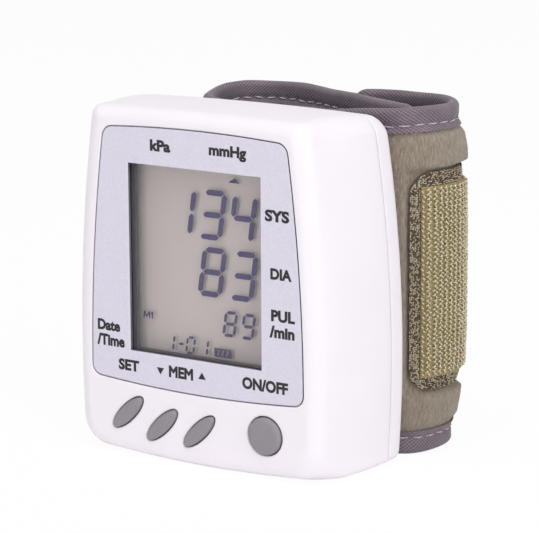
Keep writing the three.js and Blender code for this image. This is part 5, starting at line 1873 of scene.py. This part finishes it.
@dataclass
class HookPatch:
    """The stitched patch on the outer flap and the hook tape that it carries."""

    wrap: OuterWrap
    fold: Fold
    hook_s: Pair = (0.5, 24.9)
    hook_z: Pair = (16.5, 56.3)
    corner: float = 4.5
    lift: float = 0.12
    thickness: float = 0.7
    ground: float = 0.4
    ground_lift: float = 0.86
    rib: float = 1.2
    rib_depth: float = 0.12
    hook_pitch: Pair = (0.6, 1.0)
    hook_height: float = 0.5
    hook_bend: float = 0.2
    hook_radius: float = 0.16
    stitch_pitch: float = 0.44
    stitch_rows: int = 7
    stitch_radius: float = 0.15
    stitch_lean: float = 0.55
    stitch_stray: Pair = (0.2, 0.03)  # along the border and across it
    stitch_half: float = 0.4
    stitch_arch: float = 0.12
    stitch_ends: Pair = (0.03, 0.97)  # shares of the border's width that stitches keep to
    dark_share: float = 0.42
    knot: float = 0.04
    hook_margin: tuple[float, float, float, float] = (0.45, 0.3, 0.7, 0.5)  # start, end, foot, head
    hook_turn_deg: float = 215.0
    hook_shaft: float = 0.55
    hook_skew: float = 0.7
    hook_tilt: float = 0.25
    hook_sizes: Pair = (0.9, 1.12)
    hook_stray: Pair = (0.1, 0.08)
    hook_root: float = 0.1

    def build(self) -> None:
        """Builds the patch, its stitched border, the tape and its hooks."""
        fold = self.fold
        canvas = keep(self.canvas(), fold, PATCH_CANVAS, ["patch_backing"])
        threads = keep(self.stitching(), fold, KHAKI_THREAD)
        tape = keep(self.tape(), fold, TAPE_GROUND, ["hook_patch"])
        hooks = keep(self.hooks(), fold, HOOK_NYLON)

    def face(self, s: Array, z: Array) -> Array:
        """Offset of the plush under the patch at pairs of lengths and heights."""
        sizes, wrap = self.wrap.sizes, self.wrap
        return sizes.half + wrap.crown * wrap.rise(s) * sizes.fullness(z) - wrap.pressing(s)

    def canvas(self) -> Piece:
        """Builds the patch's cloth with round corners.

        Returns:
            The piece.
        """
        first, last = (self.wrap.fold + value for value in self.wrap.patch.s)
        ends = first + (last - first) * (1 - np.cos(np.linspace(0, pi, 75))) / 2
        near_end = np.minimum(ends - first, last - ends)
        short = np.clip(self.corner - near_end, 0, self.corner)
        drop = self.corner - np.sqrt(self.corner**2 - short**2)
        rows = np.linspace(0, 1, 33)
        low, high = self.wrap.patch.z
        z = low + drop[:, None] + (high - low - 2 * drop)[:, None] * rows[None, :]
        face = self.face(np.repeat(ends[:, None], len(rows), 1), z) + self.lift
        top = face + self.thickness * np.minimum(1, 0.5 + 8 * np.minimum(rows, 1 - rows))[None, :]
        offsets = np.hstack([top, face[:, ::-1]])
        sketch = self.wrap.sweep(ends, offsets, np.hstack([z, z[:, ::-1]]))
        return sketch.make("patch_canvas", [PATCH_CANVAS], sharp_deg=60.0)

    def border(self, steps: int) -> tuple[Array, Array]:
        """Inner and outer lines of the stitched border, point by point.

        Args:
            steps: points at each round corner.

        Returns:
            Two tables of lengths and heights.
        """
        s_in = [self.wrap.fold + value for value in self.hook_s]
        s_out = [self.wrap.fold + value for value in self.wrap.patch.s]
        inner, outer = [], []
        turns = ((1, 1, 0.0), (0, 1, 90.0), (0, 0, 180.0), (1, 0, 270.0))
        for i, j, start in turns:
            inward = np.array([1 - 2 * i, 1 - 2 * j]) * self.corner
            centre = np.array([s_out[i], self.wrap.patch.z[j]]) + inward
            turn = np.radians(start + 90 * np.arange(steps) / (steps - 1))
            outer.extend(centre + self.corner * np.stack([np.cos(turn), np.sin(turn)], 1))
            inner.extend([[s_in[i], self.hook_z[j]]] * steps)
        close = [np.array([*line, line[0]]) for line in (inner, outer)]
        return close[0], close[1]

    def stitching(self) -> Piece:
        """Builds the border's dense stitches of light and dark thread.

        Returns:
            The piece.
        """
        sketch = Sketch()
        draw = random.Random(SEED)
        inner, outer = self.border(9)
        middle = (inner + outer) / 2
        run = np.hstack([0.0, np.cumsum(np.hypot(*np.diff(middle, axis=0).T))])
        lift = self.lift + self.thickness
        share = np.linspace(-1, 1, 4)
        along, aside = self.stitch_stray
        for row in range(self.stitch_rows):
            for k in range(int(run[-1] / self.stitch_pitch)):
                lean = draw.uniform(-self.stitch_lean, self.stitch_lean)
                place = k + 0.5 * (row % 2) + draw.uniform(-along, along) + self.stitch_half * share
                place = place * self.stitch_pitch
                across = (row + 0.5 + lean * share) / self.stitch_rows + draw.uniform(-aside, aside)
                a, b = (np.stack([np.interp(place, run, v) for v in line.T], 1) for line in (inner, outer))
                point = a + (b - a) * np.clip(across, *self.stitch_ends)[:, None]
                offsets = self.face(point[:, 0], point[:, 1]) + lift + self.stitch_arch * (1 - share**2)
                finish = int(draw.random() < self.dark_share)
                self.wrap.thread(sketch, point[:, 0], offsets, point[:, 1], self.stitch_radius, finish)
        return sketch.make("patch_border_stitches", [KHAKI_THREAD, BROWN_THREAD], sharp_deg=80.0)

    def tape(self) -> Piece:
        """Builds the ribbed ground of the hook tape.

        Returns:
            The piece.
        """
        first, last = (self.wrap.fold + value for value in self.hook_s)
        s = np.linspace(first, last, round((last - first) / self.rib * 6) + 1)
        z = np.linspace(*self.hook_z, 41)
        grid_s, grid_z = np.meshgrid(s, z, indexing="ij")
        bottom = self.face(grid_s, grid_z) + self.ground_lift
        ribs = self.rib_depth * np.cos(2 * pi * (grid_s - first) / self.rib)
        knots = self.knot * np.cos(2 * pi * (grid_z - z[0]) / self.hook_pitch[1])
        top = bottom + self.ground + ribs + knots
        offsets = np.hstack([top, bottom[:, ::-1]])
        sketch = self.wrap.sweep(s, offsets, np.hstack([z, z[::-1]]))
        return sketch.make("hook_tape_ground", [TAPE_GROUND], sharp_deg=70.0)

    def hooks(self) -> Piece:
        """Builds the rows of small bent hooks.

        Returns:
            The piece.
        """
        sketch = Sketch()
        draw = random.Random(SEED)
        first, last = (self.wrap.fold + value for value in self.hook_s)
        before, after, foot, head = self.hook_margin
        columns = np.arange(first + before, last - after, self.hook_pitch[0])
        rows = np.arange(self.hook_z[0] + foot, self.hook_z[1] - head, self.hook_pitch[1])
        turn = np.radians(np.linspace(0, self.hook_turn_deg, 7))
        bend = self.hook_height + self.hook_bend * np.sin(turn)
        rise = np.concatenate([[0.0, self.hook_height * self.hook_shaft], bend])
        lean = np.concatenate([[0.0, 0.0], self.hook_bend * (1 - np.cos(turn))])
        along, aside = self.hook_stray
        for i, s in enumerate(columns):
            side = 1 if i % 2 else -1
            shift = 0.5 * self.hook_pitch[1] * (i % 2)
            for z in rows:
                tilt = draw.uniform(-self.hook_tilt, self.hook_tilt)
                size = draw.uniform(*self.hook_sizes)
                lengths = s + tilt * rise + draw.uniform(-along, along) + self.hook_skew * side * lean
                heights = z + shift + self.hook_skew * lean * size + draw.uniform(-aside, aside)
                base = self.face(np.array([s]), np.array([z]))[0] + self.ground_lift + self.ground
                offsets = base - self.hook_root + rise * size
                self.wrap.thread(sketch, lengths, offsets, heights, self.hook_radius)
        return sketch.make("hook_tape_hooks", [HOOK_NYLON], sharp_deg=80.0)


RUN_NODES = ("lining", "top_binding", "bottom_binding")
BASE_RUN = ((2.0, 0.0), (8.0, 0.0), (24.0, 0.0), (26.8, 0.05), (29.6, 0.6), (31.7, 2.0))
OUTER_RUN = (
    (32.4, 2.8), (34.0, 5.5), (35.2, 11.6), (33.6, 16.1), (28.0, 19.9), (19.6, 21.0), (14.8, 19.5),
    (11.6, 17.95), (8.6, 18.2),
)
LEFT_RUN = ((2.0, 0.0), (-6.0, 0.0), (-10.6, 0.1), (-14.8, 0.9), (-18.2, 3.0))
INNER_RUN = (
    (-19.5, 5.5), (-20.0, 10.4), (-16.4, 16.6), (-9.8, 19.1), (0.0, 17.1), (12.7, 11.8), (27.2, 5.9),
    (31.6, 5.5),
)
# How far the cuff's top edge hangs behind the housing, by length from the middle to each side.
RIGHT_DIPS = ((0.0, 1.6), (10.0, 1.6), (20.0, 0.8), (26.0, 0.3), (31.5, 0.0))
LEFT_DIPS = ((0.0, 1.6), (18.0, 1.6), (23.6, 1.3), (26.2, 1.0), (28.4, 0.6), (30.2, 0.3), (34.6, 0.0))


@dataclass
class Cuff:
    """The wrist cuff: outer wrap with its hook patch, left fold, inner flap and bladder."""

    sizes: CuffSizes = CuffSizes()
    outer_crown: float = 1.9
    inner_crown: float = 0.8
    outer_swell: float = 0.35
    inner_swell: float = 0.2
    bladder_margin: float = 1.8
    bladder_gap: float = 0.75
    weld: float = 0.25  # thickness of the bladder at its welded rim
    film: float = 0.5
    right_fold: Fold = Fold(Body.OUTER_FLAP, (31.0, 29.65), (32.4, 33.65))
    left_fold: Fold = Fold(Body.INNER_FLAP, (-9.5, 29.0), (-13.5, 33.0))

    def build(self) -> None:
        """Builds every piece of the cuff."""
        base_y = self.sizes.base_y
        path = PlanCurve([*BASE_RUN, *OUTER_RUN], base_y)
        fold = path.nearest(OUTER_RUN[0][0], base_y + OUTER_RUN[0][1])
        wrap = OuterWrap("outer_wrap", path, 1, 0.0, path.total, self.outer_crown, dips=RIGHT_DIPS)
        wrap.fold, wrap.bend_from = fold, path.nearest(self.sizes.bladder_x[1], base_y)
        margin = wrap.patch.slope

        def under_patch(s: Array, z: Array) -> Array:
            """Places that the patch is sewn over."""
            (_, last), (low, high) = wrap.patch.s, wrap.patch.z
            return (s < fold + last + margin) & (z > low - margin) & (z < high + margin)

        wrap.swell = PadInflation(cap=self.outer_swell).run(wrap, fold, path.total, under_patch)
        nodes = ["base_cover", "outer_flap_plush"]
        nodes += [f"{run}_{n}" for run in ("base", "outer_flap") for n in RUN_NODES]
        wrap.dress(self.right_fold, nodes)
        HookPatch(wrap, self.right_fold).build()
        self.left_side()
        self.bladder()

    def left_side(self) -> None:
        """Builds the left fold and the inner flap, which share one line."""
        base_y = self.sizes.base_y
        path = PlanCurve([*LEFT_RUN, *INNER_RUN], base_y)
        join = path.nearest(LEFT_RUN[-1][0], base_y + LEFT_RUN[-1][1])
        turn = LeftFold("left_fold", path, -1, 0.0, join, free_tip=False, dips=LEFT_DIPS, lining_crown=0.0)
        turn.fold, turn.bend_from = join, path.nearest(self.sizes.bladder_x[0], base_y)
        turn.dress(self.left_fold, [])
        flap = Strip("inner_flap", path, -1, join, path.total, self.inner_crown, dips=LEFT_DIPS)
        inflation = PadInflation(cap=self.inner_swell)
        flap.swell = inflation.run(flap, join, path.total, lambda s, z: np.zeros(s.shape, bool))
        flap.dress(Body.INNER_FLAP, [f"inner_flap_{n}" for n in ("plush", *RUN_NODES)])

    def bladder(self) -> None:
        """Builds the welded air bladder inside the base."""
        sizes = self.sizes
        sketch = Sketch()
        left, right = sizes.bladder_x
        low = sizes.bottom_z + sizes.binding + self.bladder_margin
        high = sizes.top_z - sizes.binding - self.bladder_margin
        front = sizes.base_y + self.bladder_gap
        xs, zs = np.linspace(left, right, 30), np.linspace(low, high, 44)
        across = 1 - ((2 * xs - left - right) / (right - left)) ** 4
        upward = 1 - ((2 * zs - low - high) / (high - low)) ** 4
        thick = self.weld + (self.film + sizes.bladder_swell) * across[:, None] * upward[None, :]
        rings = []
        for i, x in enumerate(xs):
            face = np.stack([np.full(len(zs), x), front + thick[i], zs], 1)
            back = np.array([[x, front, z] for z in zs[-2:0:-3]])
            rings.append(sketch.ring(np.concatenate([face, back])))
        sketch.tube(rings)
        piece = sketch.make("bladder_pillow", [WELDED_FILM], sharp_deg=60.0)
        keep(piece, Body.HOUSING, WELDED_FILM, ["cuff_bladder"])


@dataclass
class Interior:
    """The construction pieces that keep their own shape and take a finish."""

    sharp_deg: float = 35.0
    weld: float = 0.00001  # points closer than this are one, in metres
    finishes: tuple[tuple[Finish, tuple[str, ...]], ...] = (
        (CLEAR_ACRYLIC, ("display_lens",)),
        (BLACK_ABS, ("display_bezel",)),
        (BLACK_RUBBER, ("display_connector", "pump_diaphragm")),
        (GREEN_LAMINATE, ("circuit_board",)),
        (BLACK_EPOXY, ("processor_chip", "buzzer", *(f"{key.name}_switch" for key in KEYS))),
        (BLACK_EPOXY, ("pressure_sensor", "pump_head")),
        (NICKEL_STEEL, tuple(f"case_screw_{number}" for number in range(1, 5))),
        (NICKEL_STEEL, ("bridge_contact", "plus_contact", "minus_contact")),
        (NICKEL_STEEL, ("contact_spring_1", "contact_spring_2", "pump_motor", "pump_eccentric")),
        (NICKEL_STEEL, ("exhaust_valve", "valve_plunger")),
        (IVORY_ACETAL, ("battery_tray", "air_manifold", "cuff_nipple", "cuff_retainer_plate")),
        (MILKY_TUBE, ("pump_tube",)),
        (BLUE_SLEEVE, ("battery_1", "battery_2")),
    )

    def dress(self) -> None:
        """Gives each piece its finish, smooth rounds and crisp edges."""
        for finish, names in self.finishes:
            for name in names:
                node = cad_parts[name]
                node.data.materials.clear()
                node.data.materials.append(finish.material())
                node.data.shade_smooth()
                weld = node.modifiers.new("weld", "WELD")
                weld.merge_threshold = self.weld
                split = node.modifiers.new("crisp", "EDGE_SPLIT")
                split.split_angle = radians(self.sharp_deg)
                LOG.info("%s keeps its form in %s", name, finish.name)


@dataclass
class Studio:
    """Camera, floor, lamps and background."""

    eye: Triple = (303.65, -445.98, 156.33)  # in the frame, millimetres
    yaw_deg: float = 33.430
    pitch_deg: float = 12.249
    roll_deg: float = -0.300
    lens: float = 180.33
    sensor: float = 36.0
    floor_half: float = 4.0
    world_level: float = 0.36
    white_share: float = 0.95  # how much of the floor's look is plain white, for a faint shadow
    target: Triple = (0.0, 0.01, 0.036)
    lamps: tuple[tuple[str, Triple, float, float], ...] = (  # name, place and side in metres, watts
        ("key_lamp", (-0.2, -0.93, 0.2), 0.2, 1.9),
        ("right_lamp", (0.9, -0.25, 0.5), 0.6, 4.3),
        ("top_lamp", (0.12, -0.2, 0.94), 0.6, 3.8),
    )

    def build(self) -> None:
        """Sets up everything that isn't the object."""
        bpy.context.scene.view_settings.view_transform = "Standard"
        self.camera()
        self.floor()
        self.world()
        self.light()

    def camera(self) -> None:
        """Places the camera at the photograph's angle."""
        yaw, pitch, roll = (radians(v) for v in (self.yaw_deg, self.pitch_deg, self.roll_deg))
        right = Vector((cos(yaw), sin(yaw), 0.0))
        flat = cos(pitch)
        back = Vector((sin(yaw) * flat, -cos(yaw) * flat, sin(pitch)))
        up = back.cross(right)
        turned = cos(roll) * right + sin(roll) * up
        raised = -sin(roll) * right + cos(roll) * up
        data = bpy.data.cameras.new("camera")
        data.lens, data.sensor_width = self.lens, self.sensor
        camera = bpy.data.objects.new("camera", data)
        place = Matrix((turned, raised, back)).transposed().to_4x4()
        place.translation = Vector(self.eye) * MM
        camera.matrix_world = place
        bpy.context.scene.collection.objects.link(camera)
        bpy.context.scene.camera = camera

    def plain_ray(self, tree: Tree) -> bpy.types.NodeSocket:
        """Tells rays to the camera, a gloss or a glass from those that light.

        Args:
            tree: the nodes that ask.

        Returns:
            A socket with 1 for such a ray.
        """
        seen = add_node(tree, "LightPath").outputs
        plain = seen["Is Camera Ray"]
        for kind in ("Is Glossy Ray", "Is Transmission Ray"):
            plain = add_node(tree, "Math", {0: plain, 1: seen[kind]}, operation="MAXIMUM").outputs[0]
        return plain

    def floor(self) -> None:
        """Lays a near white floor that keeps the object's shadow."""
        mesh = bpy.data.meshes.new("floor")
        half = self.floor_half
        mesh.from_pydata([(half * a, half * b, 0) for a, b in CORNERS], [], [(0, 1, 2, 3)])
        made = bpy.data.materials.new("pale_floor")
        made.use_nodes = True
        tree = made.node_tree
        tree.nodes.clear()
        share = add_node(tree, "Math", {0: self.plain_ray(tree), 1: self.white_share}, operation="MULTIPLY")
        matt = add_node(tree, "BsdfDiffuse", {"Color": linear("#fafafa")})
        white = add_node(tree, "Emission", {"Strength": 1.0})
        both = add_node(tree, "MixShader", {0: share.outputs[0], 1: matt.outputs[0], 2: white.outputs[0]})
        add_node(tree, "OutputMaterial", {"Surface": both.outputs[0]})
        mesh.materials.append(made)
        floor = bpy.data.objects.new("floor", mesh)
        bpy.context.scene.collection.objects.link(floor)

    def world(self) -> None:
        """Makes an even soft light that looks white itself."""
        world = bpy.data.worlds.new("studio")
        bpy.context.scene.world = world
        world.use_nodes = True
        tree = world.node_tree
        tree.nodes.clear()
        plain = self.plain_ray(tree)
        soft = add_node(tree, "Background", {"Color": linear("#ffffff"), "Strength": self.world_level})
        white = add_node(tree, "Background", {"Color": linear("#ffffff"), "Strength": 1.0})
        both = add_node(tree, "MixShader", {0: plain, 1: soft.outputs[0], 2: white.outputs[0]})
        add_node(tree, "OutputWorld", {"Surface": both.outputs[0]})

    def light(self) -> None:
        """Hangs square soft lamps that look at the object's middle."""
        for name, place, size, power in self.lamps:
            data = bpy.data.lights.new(name, "AREA")
            data.size, data.energy = size, power
            lamp = bpy.data.objects.new(name, data)
            lamp.location = place
            lamp.rotation_euler = (Vector(self.target) - Vector(place)).to_track_quat("-Z", "Y").to_euler()
            bpy.context.scene.collection.objects.link(lamp)


def main() -> None:
    """Builds everything in order."""
    logging.basicConfig(level=logging.INFO, format="%(name)s: %(message)s")
    Studio().build()
    housing = Housing()
    housing.front_shell()
    housing.rear_shell()
    housing.battery_door()
    panel = FacePanel()
    panel.plate()
    panel.print()
    Display().build()
    Keypad().build()
    Interior().dress()
    Cuff().build()


if __name__ == "__main__":
    main()
